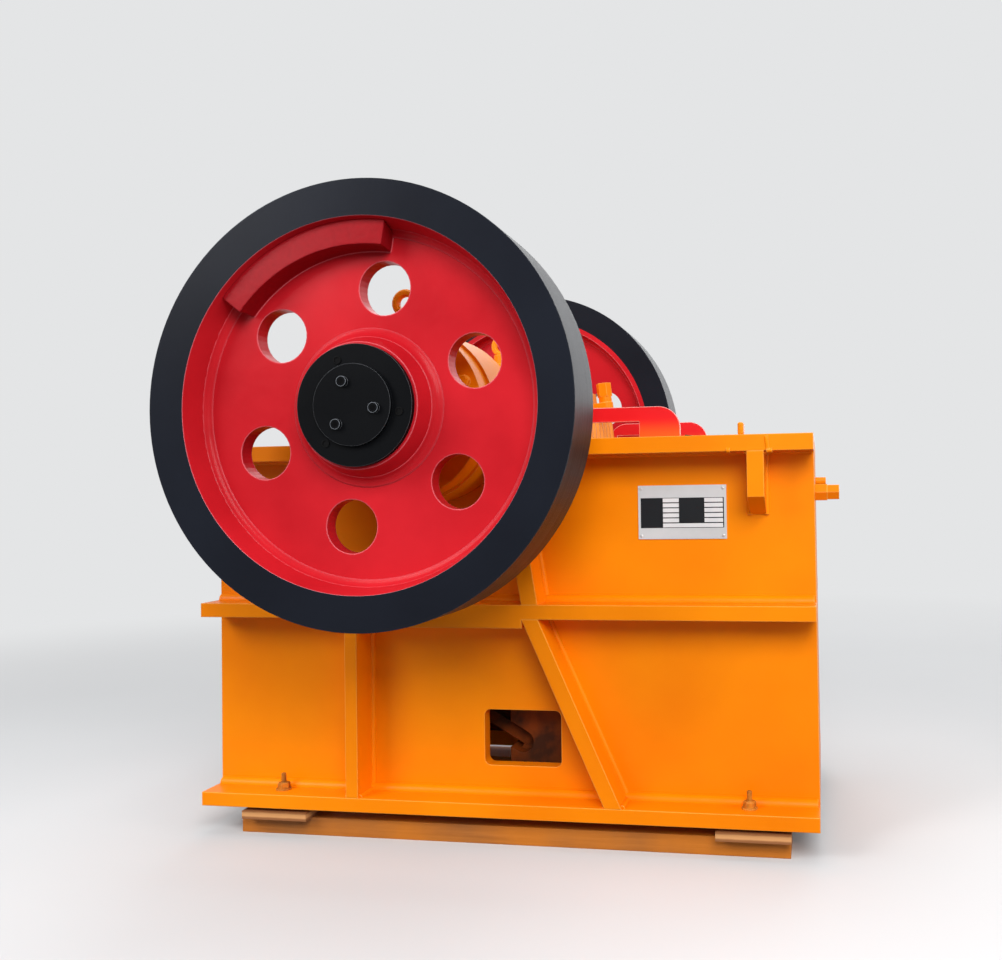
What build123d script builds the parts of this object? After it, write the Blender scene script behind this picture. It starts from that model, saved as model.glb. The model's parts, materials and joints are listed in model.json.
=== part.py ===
"""Jaw crusher on its shipping skid, built in millimetres with +Z up and +X towards the feed end."""

import os
from math import cos, hypot, radians, sin

from build123d import *

os.makedirs("parts", exist_ok=True)

# Main sizes of the machine
wheel_radius = 430.0
frame_height = 809.0
shaft_rise = 57.0
chamber_width = 400.0
mouth_gape = 248.0
discharge_gap = 56.0

# Running and seating clearances
seat_gap = 0.3
running_gap = 1.0

# Skid: two beams, two cross planks, four pads
beam_height = 39.0
beam_width = 100.0
beam_rear_setback = 82.0
beam_front_setback = 61.0
beam_outer_inset = 29.0
plank_thickness = 18.0
plank_length = 155.0
rear_plank_setback = 176.0
front_plank_setback = 136.0
pad_thickness = 8.0
pad_setback = 22.0
pad_width = 60.0

# Plates of the frame
side_thickness = 34.0
cheek_thickness = 34.0
flange_reach = 76.0
base_flange_thickness = 30.0
middle_flange_height = 425.0
middle_flange_thickness = 31.0
top_flange_thickness = 34.0
doubler_thickness = 19.0
front_wall_thickness = 30.0
rear_wall_thickness = 35.0
seat_plate_thickness = 36.0
rib_thickness = 28.0
diagonal_rib_width = 36.0

# Places along the frame, measured forward from the shaft axis
vertical_rib_ahead = -164.0
diagonal_foot_ahead = 423.0
diagonal_knee_ahead = 247.0
diagonal_top_ahead = 195.0
window_rear_ahead = 117.0

# Places measured from the ends of the frame
rear_bay_length = 346.5
front_box_depth = 169.0
gusset_setback = 118.5
nameplate_setback = 186.0

# Lines of the crushing chamber: the backs of the fixed and the swing plate, as distances ahead of the
# shaft axis and heights above the underside of the base flange
fixed_foot_ahead = 503.0
fixed_top_ahead = 616.0
plate_foot_height = 195.0
fixed_plate_rise = 3.0
swing_plate_rise = 80.0
jaw_plate_thickness = 36.0
tooth_height = 14.0
jaw_plate_depth = jaw_plate_thickness + tooth_height
fixed_foot = (fixed_foot_ahead, plate_foot_height)
fixed_top = (fixed_top_ahead, frame_height + fixed_plate_rise)
swing_foot = (fixed_foot_ahead - 2 * jaw_plate_depth - discharge_gap, plate_foot_height)
swing_top = (fixed_top_ahead - 2 * jaw_plate_depth - mouth_gape, frame_height + swing_plate_rise)


def between(foot, top, share):
    """Point on a line, at a share of the way from its foot to its top."""
    return (foot[0] + (top[0] - foot[0]) * share, foot[1] + (top[1] - foot[1]) * share)


def line_at_height(foot, top, height):
    """Distance ahead at which a line passes the given height."""
    return foot[0] + (top[0] - foot[0]) * (height - foot[1]) / (top[1] - foot[1])


def line_frame(foot, top, side):
    """Length, unit direction and unit normal of a chamber line, the normal to the given side."""
    run, rise = top[0] - foot[0], top[1] - foot[1]
    length = hypot(run, rise)
    direction = (run / length, rise / length)
    normal = (side * direction[1], -side * direction[0])
    return length, direction, normal


fixed_length, fixed_direction, fixed_normal = line_frame(fixed_foot, fixed_top, -1)
swing_length, swing_direction, swing_normal = line_frame(swing_foot, swing_top, 1)

# The inclined seat plate behind the fixed jaw sets where the front wall stands
seat_plate_run = seat_plate_thickness / fixed_direction[1]
mouth_front_ahead = line_at_height(fixed_foot, fixed_top, frame_height)
wall_inner_ahead = mouth_front_ahead + seat_plate_run + front_box_depth
frame_front_ahead = wall_inner_ahead + front_wall_thickness
rear_wall_rear_ahead = vertical_rib_ahead - rear_wall_thickness / 2
rear_wall_front_ahead = vertical_rib_ahead + rear_wall_thickness / 2
frame_rear_ahead = rear_wall_rear_ahead - rear_bay_length
frame_length = frame_front_ahead - frame_rear_ahead
stud_projection = 53.0
overall_length = frame_length + stud_projection

# Levels and faces shared by the pieces, with the origin under the middle of the machine
base_z = beam_height + plank_thickness + pad_thickness
top_z = base_z + frame_height
shaft_z = top_z + shaft_rise
shaft_x = -overall_length / 2 - frame_rear_ahead
frame_middle_x = shaft_x + (frame_rear_ahead + frame_front_ahead) / 2
frame_front_x = shaft_x + frame_front_ahead
side_inner_y = chamber_width / 2 + cheek_thickness + seat_gap
side_outer_y = side_inner_y + side_thickness
flange_outer_y = side_outer_y + flange_reach
top_flange_underside = frame_height - top_flange_thickness
middle_flange_top = middle_flange_height + middle_flange_thickness
shaft_origin = (shaft_x, 0, shaft_z)
wheel_axis = Axis(shaft_origin, (0, 1, 0))
wheel_section_plane = Plane(origin=shaft_origin, x_dir=(0, -1, 0), z_dir=(-1, 0, 0))
wheel_face_plane = Plane(origin=shaft_origin, x_dir=(1, 0, 0), z_dir=(0, -1, 0))


def ahead(distance):
    """X of a point that lies the given distance forward of the shaft axis."""
    return shaft_x + distance


def above(height):
    """Z of a point that lies the given height above the underside of the base flange."""
    return base_z + height


def near_face(distance):
    """Sketch plane that faces the near side, at the given distance from the middle plane."""
    return Plane.XZ.offset(distance)


def world_points(points):
    """Turns distances ahead and heights above into points of the part's own frame."""
    return [(ahead(distance), above(height)) for distance, height in points]


# Bearing housings, which sit in round cut-outs of the side plates
housing_radius = 190.0
housing_inner_reach = 10.0
housing_outer_reach = 116.0
cover_radius = 184.0
cover_length = 60.0
foot_half_length = 297.0
foot_step = 28.0
foot_pad_thickness = 8.0
foot_thickness = 30.0
foot_inset = 3.0
journal_radius = 60.0
housing_inner_y = side_inner_y - housing_inner_reach
housing_outer_y = side_outer_y + housing_outer_reach
cover_outer_y = housing_outer_y + cover_length

# Side plates, with the seat of the bearing housing and the inspection window
window_length = 176.0
window_height = 123.0
window_sill = 92.0
window_corner = 14.0
with BuildPart() as side_plate_near:
    with BuildSketch(near_face(side_inner_y)):
        with Locations((frame_middle_x, above(frame_height / 2))):
            Rectangle(frame_length, frame_height)
        with Locations((shaft_x, shaft_z)):
            Circle(housing_radius + seat_gap, mode=Mode.SUBTRACT)
        with Locations((ahead(window_rear_ahead + window_length / 2), above(window_sill + window_height / 2))):
            RectangleRounded(window_length, window_height, window_corner, mode=Mode.SUBTRACT)
    extrude(amount=side_thickness)

with BuildPart() as side_plate_far:
    mirror(side_plate_near.part, about=Plane.XZ)

# Front wall and the inclined plate that backs the fixed jaw, tied by level ribs
seat_plate_foot = 150.0
front_rib_shares = (0.0, 0.29, 0.62, 1.0)
with BuildPart() as front_wall:
    with BuildSketch(Plane.XY.offset(base_z)):
        with Locations((frame_front_x - front_wall_thickness / 2, 0)):
            Rectangle(front_wall_thickness, 2 * side_inner_y)
    extrude(amount=frame_height)

seat_low = line_at_height(fixed_foot, fixed_top, seat_plate_foot)
with BuildPart() as fixed_jaw_seat:
    with BuildSketch(near_face(-side_inner_y)):
        with BuildLine():
            Polyline(
                world_points(
                    [
                        (seat_low, seat_plate_foot),
                        (seat_low + seat_plate_run, seat_plate_foot),
                        (mouth_front_ahead + seat_plate_run, frame_height),
                        (mouth_front_ahead, frame_height),
                    ]
                ),
                close=True,
            )
        make_face()
    extrude(amount=2 * side_inner_y)

front_rib_range = frame_height - rib_thickness - seat_plate_foot
with BuildPart() as front_ribs:
    with BuildSketch(near_face(-side_inner_y)):
        for rib_share in front_rib_shares:
            rib_foot = seat_plate_foot + front_rib_range * rib_share
            rib_top = rib_foot + rib_thickness
            with BuildLine():
                Polyline(
                    world_points(
                        [
                            (line_at_height(fixed_foot, fixed_top, rib_foot) + seat_plate_run, rib_foot),
                            (wall_inner_ahead, rib_foot),
                            (wall_inner_ahead, rib_top),
                            (line_at_height(fixed_foot, fixed_top, rib_top) + seat_plate_run, rib_top),
                        ]
                    ),
                    close=True,
                )
            make_face()
    extrude(amount=2 * side_inner_y)

# Rear: the wall that takes the toggle load, and the ties that close the frame
rear_wall_foot = 60.0
rear_wall_top = 640.0
rear_tie_length = 130.0
rear_tie_thickness = 30.0
rod_height = 112.0
rod_radius = 12.0
rod_hole_radius = 16.0
with BuildPart() as rear_wall:
    with BuildSketch(near_face(-side_inner_y)):
        with Locations((ahead(vertical_rib_ahead), above((rear_wall_foot + rear_wall_top) / 2))):
            Rectangle(rear_wall_thickness, rear_wall_top - rear_wall_foot)
    extrude(amount=2 * side_inner_y)
    with BuildSketch(Plane.YZ.offset(ahead(rear_wall_rear_ahead))):
        with Locations((0, above(rod_height))):
            Circle(rod_hole_radius)
    extrude(amount=rear_wall_thickness, mode=Mode.SUBTRACT)

with BuildPart() as rear_ties:
    for tie_level in (base_z, top_z - rear_tie_thickness):
        with BuildSketch(Plane.XY.offset(tie_level)):
            with Locations((ahead(frame_rear_ahead + rear_tie_length / 2), 0)):
                Rectangle(rear_tie_length, 2 * side_inner_y)
        extrude(amount=rear_tie_thickness)

# Flanges that run along the outside of each side plate
with BuildPart() as base_flange_near:
    with BuildSketch(near_face(side_outer_y)):
        with Locations((frame_middle_x, above(base_flange_thickness / 2))):
            Rectangle(frame_length, base_flange_thickness)
    extrude(amount=flange_reach)

with BuildPart() as base_flange_far:
    mirror(base_flange_near.part, about=Plane.XZ)

doubler_rear = vertical_rib_ahead + rib_thickness / 2
doubler_front = diagonal_knee_ahead - diagonal_rib_width / 2
with BuildPart() as middle_flange_near:
    with BuildSketch(near_face(side_outer_y)):
        with Locations((frame_middle_x, above(middle_flange_height + middle_flange_thickness / 2))):
            Rectangle(frame_length, middle_flange_thickness)
        with Locations((ahead((doubler_rear + doubler_front) / 2), above(middle_flange_height - doubler_thickness / 2))):
            Rectangle(doubler_front - doubler_rear, doubler_thickness)
    extrude(amount=flange_reach)

with BuildPart() as middle_flange_far:
    mirror(middle_flange_near.part, about=Plane.XZ)

with BuildPart() as top_flange_near:
    with BuildSketch(near_face(side_outer_y)):
        with Locations((frame_middle_x, above(frame_height - top_flange_thickness / 2))):
            Rectangle(frame_length, top_flange_thickness)
        with Locations((shaft_x, shaft_z)):
            Circle(housing_radius + seat_gap, mode=Mode.SUBTRACT)
    extrude(amount=flange_reach)

with BuildPart() as top_flange_far:
    mirror(top_flange_near.part, about=Plane.XZ)

# Ribs between the flanges, flush with their tips
with BuildPart() as vertical_ribs:
    with BuildSketch(near_face(side_outer_y)):
        with Locations((ahead(vertical_rib_ahead), above((base_flange_thickness + middle_flange_height) / 2))):
            Rectangle(rib_thickness, middle_flange_height - base_flange_thickness)
    extrude(amount=flange_reach)
    mirror(about=Plane.XZ)


def leaning_rib(foot_ahead, foot_height, top_ahead, top_height):
    """Corners of a rib that leans between two levels, of the diagonal ribs' width."""
    half_width = diagonal_rib_width / 2
    return world_points(
        [
            (foot_ahead - half_width, foot_height),
            (foot_ahead + half_width, foot_height),
            (top_ahead + half_width, top_height),
            (top_ahead - half_width, top_height),
        ]
    )


with BuildPart() as diagonal_ribs:
    with BuildSketch(near_face(side_outer_y)):
        with BuildLine():
            Polyline(
                leaning_rib(diagonal_foot_ahead, base_flange_thickness, diagonal_knee_ahead, middle_flange_height),
                close=True,
            )
        make_face()
        with BuildLine():
            Polyline(
                leaning_rib(diagonal_knee_ahead, middle_flange_top, diagonal_top_ahead, top_flange_underside),
                close=True,
            )
        make_face()
        with Locations((shaft_x, shaft_z)):
            Circle(housing_radius + seat_gap, mode=Mode.SUBTRACT)
    extrude(amount=flange_reach)
    mirror(about=Plane.XZ)

gusset_width = 35.0
gusset_depth = 95.0
gusset_taper = 38.0
gusset_middle_x = frame_front_x - gusset_setback
gusset_tip_foot = top_flange_underside - gusset_depth
with BuildPart() as top_gussets:
    with BuildSketch(Plane.YZ.offset(gusset_middle_x - gusset_width / 2)):
        with BuildLine():
            Polyline(
                (-side_outer_y, above(top_flange_underside)),
                (-flange_outer_y, above(top_flange_underside)),
                (-flange_outer_y, above(gusset_tip_foot)),
                (-side_outer_y, above(gusset_tip_foot - gusset_taper)),
                close=True,
            )
        make_face()
    extrude(amount=gusset_width)
    mirror(about=Plane.XZ)

# Bearing housings with their stepped feet, and the covers on their ends
with BuildPart() as bearing_housing_near:
    with BuildSketch(near_face(housing_inner_y)):
        with Locations((shaft_x, shaft_z)):
            Circle(housing_radius)
    extrude(amount=housing_outer_y - housing_inner_y)
    with BuildSketch(near_face(side_inner_y + foot_inset)):
        with Locations((shaft_x, top_z + foot_pad_thickness / 2)):
            Rectangle(2 * foot_half_length, foot_pad_thickness)
        with Locations((shaft_x, top_z + foot_pad_thickness + foot_thickness / 2)):
            Rectangle(2 * (foot_half_length - foot_step), foot_thickness)
    extrude(amount=flange_outer_y - side_inner_y - 2 * foot_inset)
    with BuildSketch(near_face(housing_inner_y)):
        with Locations((shaft_x, shaft_z)):
            Circle(journal_radius + seat_gap)
    extrude(amount=housing_outer_y - housing_inner_y, mode=Mode.SUBTRACT)

with BuildPart() as bearing_housing_far:
    mirror(bearing_housing_near.part, about=Plane.XZ)

with BuildPart() as bearing_cover_near:
    with BuildSketch(near_face(housing_outer_y)):
        with Locations((shaft_x, shaft_z)):
            Circle(cover_radius)
            Circle(journal_radius + running_gap, mode=Mode.SUBTRACT)
    extrude(amount=cover_length)

with BuildPart() as bearing_cover_far:
    mirror(bearing_cover_near.part, about=Plane.XZ)

# Lifting eyes on top of the housings: a collar that follows the round top, and a bevelled ring
eye_ahead = -33.0
eye_hole_radius = 15.0
eye_ring_width = 16.0
eye_thickness = 18.0
eye_bevel = 4.0
eye_sides = 20
eye_collar_radius = 24.0
eye_collar_height = 36.0
eye_sink = 4.0
eye_ring_radius = eye_hole_radius + eye_ring_width
eye_y = (side_outer_y + housing_outer_y) / 2
eye_collar_top = shaft_z + housing_radius + eye_collar_height
eye_centre_z = eye_collar_top - eye_sink + eye_ring_radius
with BuildPart() as lifting_eyes:
    with BuildSketch(near_face(eye_y - eye_thickness / 2)):
        with Locations((ahead(eye_ahead), eye_centre_z)):
            RegularPolygon(eye_ring_radius, eye_sides, rotation=180 / eye_sides)
            RegularPolygon(eye_hole_radius, eye_sides, rotation=180 / eye_sides, mode=Mode.SUBTRACT)
    extrude(amount=eye_thickness)
    chamfer(faces().filter_by(Axis.Y).edges(), eye_bevel)
    with BuildSketch(Plane.XY.offset(shaft_z)):
        with Locations((ahead(eye_ahead), -eye_y)):
            Circle(eye_collar_radius)
    extrude(amount=eye_collar_top - shaft_z)
    with BuildSketch(near_face(side_outer_y)):
        with Locations((shaft_x, shaft_z)):
            Circle(housing_radius)
    extrude(amount=housing_outer_y - side_outer_y, mode=Mode.SUBTRACT)
    mirror(about=Plane.XZ)

# Jaw plates, toothed along their length
tooth_count = 10
tooth_tip_share = 0.3
tooth_root_share = 0.2
jaw_plate_half_width = chamber_width / 2 - running_gap
tooth_pitch = 2 * jaw_plate_half_width / tooth_count


def jaw_plate_outline():
    """Outline of a jaw plate across its width, with its back on the local Y axis."""
    flank = tooth_pitch * (1 - tooth_tip_share - tooth_root_share) / 2
    half_root = tooth_pitch * tooth_root_share / 2
    points = [(0, -jaw_plate_half_width), (0, jaw_plate_half_width)]
    points.append((jaw_plate_thickness, jaw_plate_half_width))
    for index in range(tooth_count):
        start = jaw_plate_half_width - index * tooth_pitch
        end = start - tooth_pitch
        points.append((jaw_plate_thickness, start - half_root))
        points.append((jaw_plate_depth, start - half_root - flank))
        points.append((jaw_plate_depth, end + half_root + flank))
        points.append((jaw_plate_thickness, end + half_root))
    points.append((jaw_plate_thickness, -jaw_plate_half_width))
    return points


def chamber_plane(foot, direction, normal):
    """Sketch plane across a chamber line at its foot, with its X towards the rock."""
    return Plane(
        origin=(ahead(foot[0]), 0, above(foot[1])),
        x_dir=(normal[0], 0, normal[1]),
        z_dir=(direction[0], 0, direction[1]),
    )


swing_plane = chamber_plane(swing_foot, swing_direction, swing_normal)
with BuildPart() as fixed_jaw_plate:
    with BuildSketch(chamber_plane(fixed_foot, fixed_direction, fixed_normal)):
        with BuildLine():
            Polyline(jaw_plate_outline(), close=True)
        make_face()
    extrude(amount=fixed_length)

with BuildPart() as swing_jaw_plate:
    with BuildSketch(swing_plane):
        with BuildLine():
            Polyline(jaw_plate_outline(), close=True)
        make_face()
    extrude(amount=swing_length)

# Cheek plates that line the chamber between the two jaw plates
cheek_foot = 150.0
cheek_clearance = 2.0
with BuildPart() as cheek_plates:
    with BuildSketch(near_face(side_inner_y - cheek_thickness)):
        with BuildLine():
            Polyline(
                world_points(
                    [
                        (line_at_height(swing_foot, swing_top, cheek_foot), cheek_foot),
                        (line_at_height(fixed_foot, fixed_top, cheek_foot) - cheek_clearance, cheek_foot),
                        (mouth_front_ahead - cheek_clearance, frame_height),
                        (line_at_height(swing_foot, swing_top, frame_height), frame_height),
                    ]
                ),
                close=True,
            )
        make_face()
    extrude(amount=cheek_thickness)
    mirror(about=Plane.XZ)

# Toggle plate between the rear wall's block and the foot of the swing jaw
toggle_front = (180.0, 125.0)
toggle_span = 322.0
toggle_slope = 30.0
toggle_thickness = 28.0
toggle_half_width = 160.0
seat_liner_thickness = 11.0
toggle_rear = (
    toggle_front[0] - toggle_span * cos(radians(toggle_slope)),
    toggle_front[1] + toggle_span * sin(radians(toggle_slope)),
)
toggle_middle = between(toggle_rear, toggle_front, 0.5)
toggle_location = Location((ahead(toggle_middle[0]), above(toggle_middle[1])), -toggle_slope)
seat_inner_width = toggle_thickness + 2 * seat_gap
seat_outer_width = seat_inner_width + 2 * seat_liner_thickness
with BuildPart() as toggle_plate:
    with BuildSketch(near_face(-toggle_half_width)):
        with Locations(toggle_location):
            SlotCenterToCenter(toggle_span, toggle_thickness)
    extrude(amount=2 * toggle_half_width)

# The C-shaped liners that the toggle plate's round ends rock in
with BuildPart() as toggle_seats:
    with BuildSketch(near_face(-toggle_half_width)):
        with Locations(toggle_location):
            SlotCenterToCenter(toggle_span, seat_outer_width)
            SlotCenterToCenter(toggle_span, seat_inner_width, mode=Mode.SUBTRACT)
            Rectangle(toggle_span, seat_outer_width, mode=Mode.SUBTRACT)
    extrude(amount=2 * toggle_half_width)

block_half_height = 55.0
with BuildPart() as adjusting_block:
    with BuildSketch(near_face(-toggle_half_width)):
        block_length = toggle_rear[0] - rear_wall_front_ahead
        with Locations((ahead(rear_wall_front_ahead + block_length / 2), above(toggle_rear[1]))):
            Rectangle(block_length, 2 * block_half_height)
        with Locations(toggle_location):
            SlotCenterToCenter(toggle_span, seat_outer_width, mode=Mode.SUBTRACT)
    extrude(amount=2 * toggle_half_width)

# Swing jaw: a head round the eccentric shaft and a body down to the toggle seat
eccentric_radius = 75.0
eccentricity = 10.0
swing_head_radius = 165.0
swing_half_width = 190.0
swing_back_ahead = 151.0
swing_bottom_height = 66.0
back_knee_height = 250.0
head_front_angle = 70.0
head_back_angle = 230.0
lip_depth = 34.0
toe_reach = 21.0
toe_height = 130.0
bottom_setback = 12.0
head_lip = 40.0
swing_bore_radius = eccentric_radius + eccentricity + running_gap


def on_head(angle):
    """Point of the swing jaw's round head, at an angle up from the forward direction."""
    height = frame_height + shaft_rise + swing_head_radius * sin(radians(angle))
    return (swing_head_radius * cos(radians(angle)), height)


swing_jaw_outline = [
    on_head(head_front_angle),
    between(swing_foot, swing_top, 1 + head_lip / swing_length),
    swing_foot,
    (swing_foot[0] + lip_depth * swing_normal[0], swing_foot[1] + lip_depth * swing_normal[1]),
    (swing_foot[0] + toe_reach, toe_height),
    (swing_foot[0] - bottom_setback, swing_bottom_height),
    (swing_back_ahead, swing_bottom_height),
    (swing_back_ahead, back_knee_height),
    on_head(head_back_angle),
]
with BuildPart() as swing_jaw:
    with BuildSketch(near_face(-swing_half_width)):
        with Locations((shaft_x, shaft_z)):
            Circle(swing_head_radius)
        with BuildLine():
            Polyline(world_points(swing_jaw_outline), close=True)
        make_face()
        with Locations((shaft_x, shaft_z)):
            Circle(swing_bore_radius, mode=Mode.SUBTRACT)
        with Locations(toggle_location):
            SlotCenterToCenter(toggle_span, seat_outer_width, mode=Mode.SUBTRACT)
    extrude(amount=2 * swing_half_width)

# Clamp on the swing plate's top: a back bar across the jaw, a narrow arm with a round end, and its bolt
clamp_half_width = 18.0
clamp_bar_thickness = 18.0
clamp_bolt_reach = 78.0
clamp_neck_radius = 16.0
clamp_neck_length = 15.0
clamp_nut_across = 32.0
clamp_nut_height = 33.0
clamp_back_depth = 14.0
clamp_back_height = 66.0
with BuildPart() as jaw_clamp:
    with BuildSketch(swing_plane.offset(swing_length)):
        with Locations((clamp_back_depth / 2, 0)):
            Rectangle(clamp_back_depth, 2 * swing_half_width)
    extrude(amount=clamp_back_height)
    with BuildSketch(swing_plane.offset(swing_length)):
        with Locations((clamp_bolt_reach / 2, 0)):
            Rectangle(clamp_bolt_reach, 2 * clamp_half_width)
        with Locations((clamp_bolt_reach, 0)):
            Circle(clamp_half_width)
    extrude(amount=clamp_bar_thickness)
    with BuildSketch(swing_plane.offset(swing_length + clamp_bar_thickness)):
        with Locations((clamp_bolt_reach, 0)):
            Circle(clamp_neck_radius)
    extrude(amount=clamp_neck_length)
    with BuildSketch(swing_plane.offset(swing_length + clamp_bar_thickness + clamp_neck_length)):
        with Locations((clamp_bolt_reach, 0)):
            RegularPolygon(clamp_nut_across / 2, 6, major_radius=False)
    extrude(amount=clamp_nut_height)

# Tension rod and its spring behind the rear wall
spring_length = 130.0
spring_outer_radius = 38.0
rod_tail = 60.0
rod_nut_height = 20.0
spring_rear_ahead = rear_wall_rear_ahead - spring_length
rod_rear_ahead = spring_rear_ahead - rod_tail
with BuildPart() as tension_rod:
    with BuildSketch(Plane.YZ.offset(ahead(rod_rear_ahead))):
        with Locations((0, above(rod_height))):
            Circle(rod_radius)
    extrude(amount=swing_back_ahead - rod_rear_ahead)
    with BuildSketch(Plane.YZ.offset(ahead(spring_rear_ahead - rod_nut_height))):
        with Locations((0, above(rod_height))):
            RegularPolygon(spring_outer_radius, 6)
    extrude(amount=rod_nut_height)

with BuildPart() as tension_spring:
    with BuildSketch(Plane.YZ.offset(ahead(spring_rear_ahead))):
        with Locations((0, above(rod_height))):
            Circle(spring_outer_radius)
            Circle(rod_hole_radius, mode=Mode.SUBTRACT)
    extrude(amount=spring_length)

# Guard plates that stand on the side plates beside the feed mouth
guard_height = 71.0
guard_thickness = 12.0
guard_corner = 48.0
guard_slot_rear_margin = 22.0
guard_slot_front_margin = 90.0
guard_slot_height = 39.0
guard_middle_y = side_inner_y + side_thickness / 2
guard_rear_ahead = foot_half_length + running_gap
guard_front_ahead = mouth_front_ahead - jaw_plate_depth
guard_length = guard_front_ahead - guard_rear_ahead
slot_length = guard_length - guard_slot_rear_margin - guard_slot_front_margin
with BuildPart() as guard_plates:
    with BuildSketch(near_face(guard_middle_y - guard_thickness / 2)):
        with Locations((ahead(guard_rear_ahead + guard_length / 2), top_z + guard_height / 2)):
            Rectangle(guard_length, guard_height)
        fillet(vertices().group_by(Axis.Y)[-1], guard_corner)
        slot_middle = guard_rear_ahead + guard_slot_rear_margin + slot_length / 2
        with Locations((ahead(slot_middle), top_z + guard_slot_height / 2)):
            Rectangle(slot_length, guard_slot_height, mode=Mode.SUBTRACT)
    extrude(amount=guard_thickness)
    mirror(about=Plane.XZ)

# Fasteners on the front wall: a long one with two nuts on the near side, a short one on the far side
wall_stud_y = 150.0
near_stud_drop = 122.0
far_stud_drop = 95.0
inner_nut_across = 36.0
inner_nut_height = 27.0
outer_nut_across = 32.0
far_stud_radius = 10.0
far_stud_length = 26.0
with BuildPart() as wall_studs:
    with BuildSketch(Plane.YZ.offset(frame_front_x)):
        with Locations((-wall_stud_y, above(frame_height - near_stud_drop))):
            RegularPolygon(inner_nut_across / 2, 6, major_radius=False)
    extrude(amount=inner_nut_height)
    with BuildSketch(Plane.YZ.offset(frame_front_x)):
        with Locations((-wall_stud_y, above(frame_height - near_stud_drop))):
            RegularPolygon(outer_nut_across / 2, 6, major_radius=False)
    extrude(amount=stud_projection)
    with BuildSketch(Plane.YZ.offset(frame_front_x)):
        with Locations((wall_stud_y, above(frame_height - far_stud_drop))):
            Circle(far_stud_radius)
    extrude(amount=far_stud_length)

# Nameplate on the near side, left bare
nameplate_length = 192.0
nameplate_height = 116.0
nameplate_rise_share = 0.605
nameplate_thickness = 2.0
nameplate_middle = middle_flange_top + nameplate_rise_share * (top_flange_underside - middle_flange_top)
with BuildPart() as nameplate:
    with BuildSketch(near_face(side_outer_y)):
        with Locations((frame_front_x - nameplate_setback - nameplate_length / 2, above(nameplate_middle))):
            Rectangle(nameplate_length, nameplate_height)
    extrude(amount=nameplate_thickness)

# Skid
beam_rear_x = ahead(frame_rear_ahead + beam_rear_setback)
beam_front_x = frame_front_x - beam_front_setback
beam_middle_y = flange_outer_y - beam_outer_inset - beam_width / 2
plank_places = (ahead(frame_rear_ahead + rear_plank_setback), frame_front_x - front_plank_setback)
with BuildPart() as skid_beams:
    with BuildSketch(Plane.XY):
        with Locations(((beam_rear_x + beam_front_x) / 2, -beam_middle_y)):
            Rectangle(beam_front_x - beam_rear_x, beam_width)
    extrude(amount=beam_height)
    mirror(about=Plane.XZ)

with BuildPart() as skid_planks:
    with BuildSketch(Plane.XY.offset(beam_height)):
        for plank_x in plank_places:
            with Locations((plank_x, 0)):
                Rectangle(plank_length, 2 * flange_outer_y)
    extrude(amount=plank_thickness)

with BuildPart() as skid_pads:
    with BuildSketch(Plane.XY.offset(beam_height + plank_thickness)):
        for plank_x in plank_places:
            with Locations((plank_x, -flange_outer_y + pad_setback + pad_width / 2)):
                Rectangle(plank_length - 2 * pad_setback, pad_width)
    extrude(amount=pad_thickness)
    mirror(about=Plane.XZ)

# Wheels: a rim with a drafted inside, shrunk round a web and hub with hand holes and a balance weight
wheel_gap = 53.7
rim_width = 140.0
rim_inner_radius = 359.5
rim_draft = 14.0
web_recess = 60.0
web_thickness = 35.0
hub_recess = 13.0
hub_back_recess = 10.0
hub_root_radius = 142.0
hub_face_radius = 122.0
hub_back_radius = 120.0
shaft_seat_radius = 55.0
hole_count = 6
hole_radius = 53.0
hole_sides = 32
hole_circle = 234.0
hole_start_angle = 81.0
lock_ring_radius = 116.5
lock_ring_thickness = 12.0
end_cap_radius = 78.0
end_cap_thickness = 10.0
cap_screw_count = 3
cap_screw_radius = 10.0
cap_screw_sides = 16
cap_screw_circle = 47.0
cap_screw_start_angle = -9.0
cap_screw_height = 8.0
weight_inner_radius = 305.0
weight_start_angle = 80.5
weight_sweep = 61.5
weight_height = 46.0
weight_draft = 4.0
quarter_turn = 90.0
rim_inner_y = cover_outer_y + wheel_gap
wheel_outer_y = rim_inner_y + rim_width
web_outer_y = wheel_outer_y - web_recess
web_inner_y = web_outer_y - web_thickness
hub_outer_y = wheel_outer_y - hub_recess
hub_inner_y = rim_inner_y + hub_back_recess
web_rim_radius = rim_inner_radius - rim_draft
weight_outer_y = web_outer_y + weight_height
weight_lean = rim_draft * weight_height / web_recess
with BuildPart() as flywheel_rim_near:
    with BuildSketch(wheel_section_plane):
        with BuildLine():
            Polyline(
                (rim_inner_y, wheel_radius),
                (wheel_outer_y, wheel_radius),
                (wheel_outer_y, rim_inner_radius),
                (web_outer_y, web_rim_radius),
                (rim_inner_y, web_rim_radius),
                close=True,
            )
        make_face()
    revolve(axis=wheel_axis)

with BuildPart() as flywheel_rim_far:
    mirror(flywheel_rim_near.part, about=Plane.XZ)

with BuildPart() as balance_weight:
    with BuildSketch(wheel_section_plane):
        with BuildLine():
            Polyline(
                (web_outer_y, weight_inner_radius),
                (web_outer_y, web_rim_radius - seat_gap),
                (weight_outer_y, web_rim_radius + weight_lean - seat_gap),
                (weight_outer_y, weight_inner_radius + weight_draft),
                close=True,
            )
        make_face()
    revolve(axis=wheel_axis, revolution_arc=weight_sweep)
    weight_turn = quarter_turn - weight_start_angle - weight_sweep
    balance_weight.part = balance_weight.part.rotate(wheel_axis, weight_turn)

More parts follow.
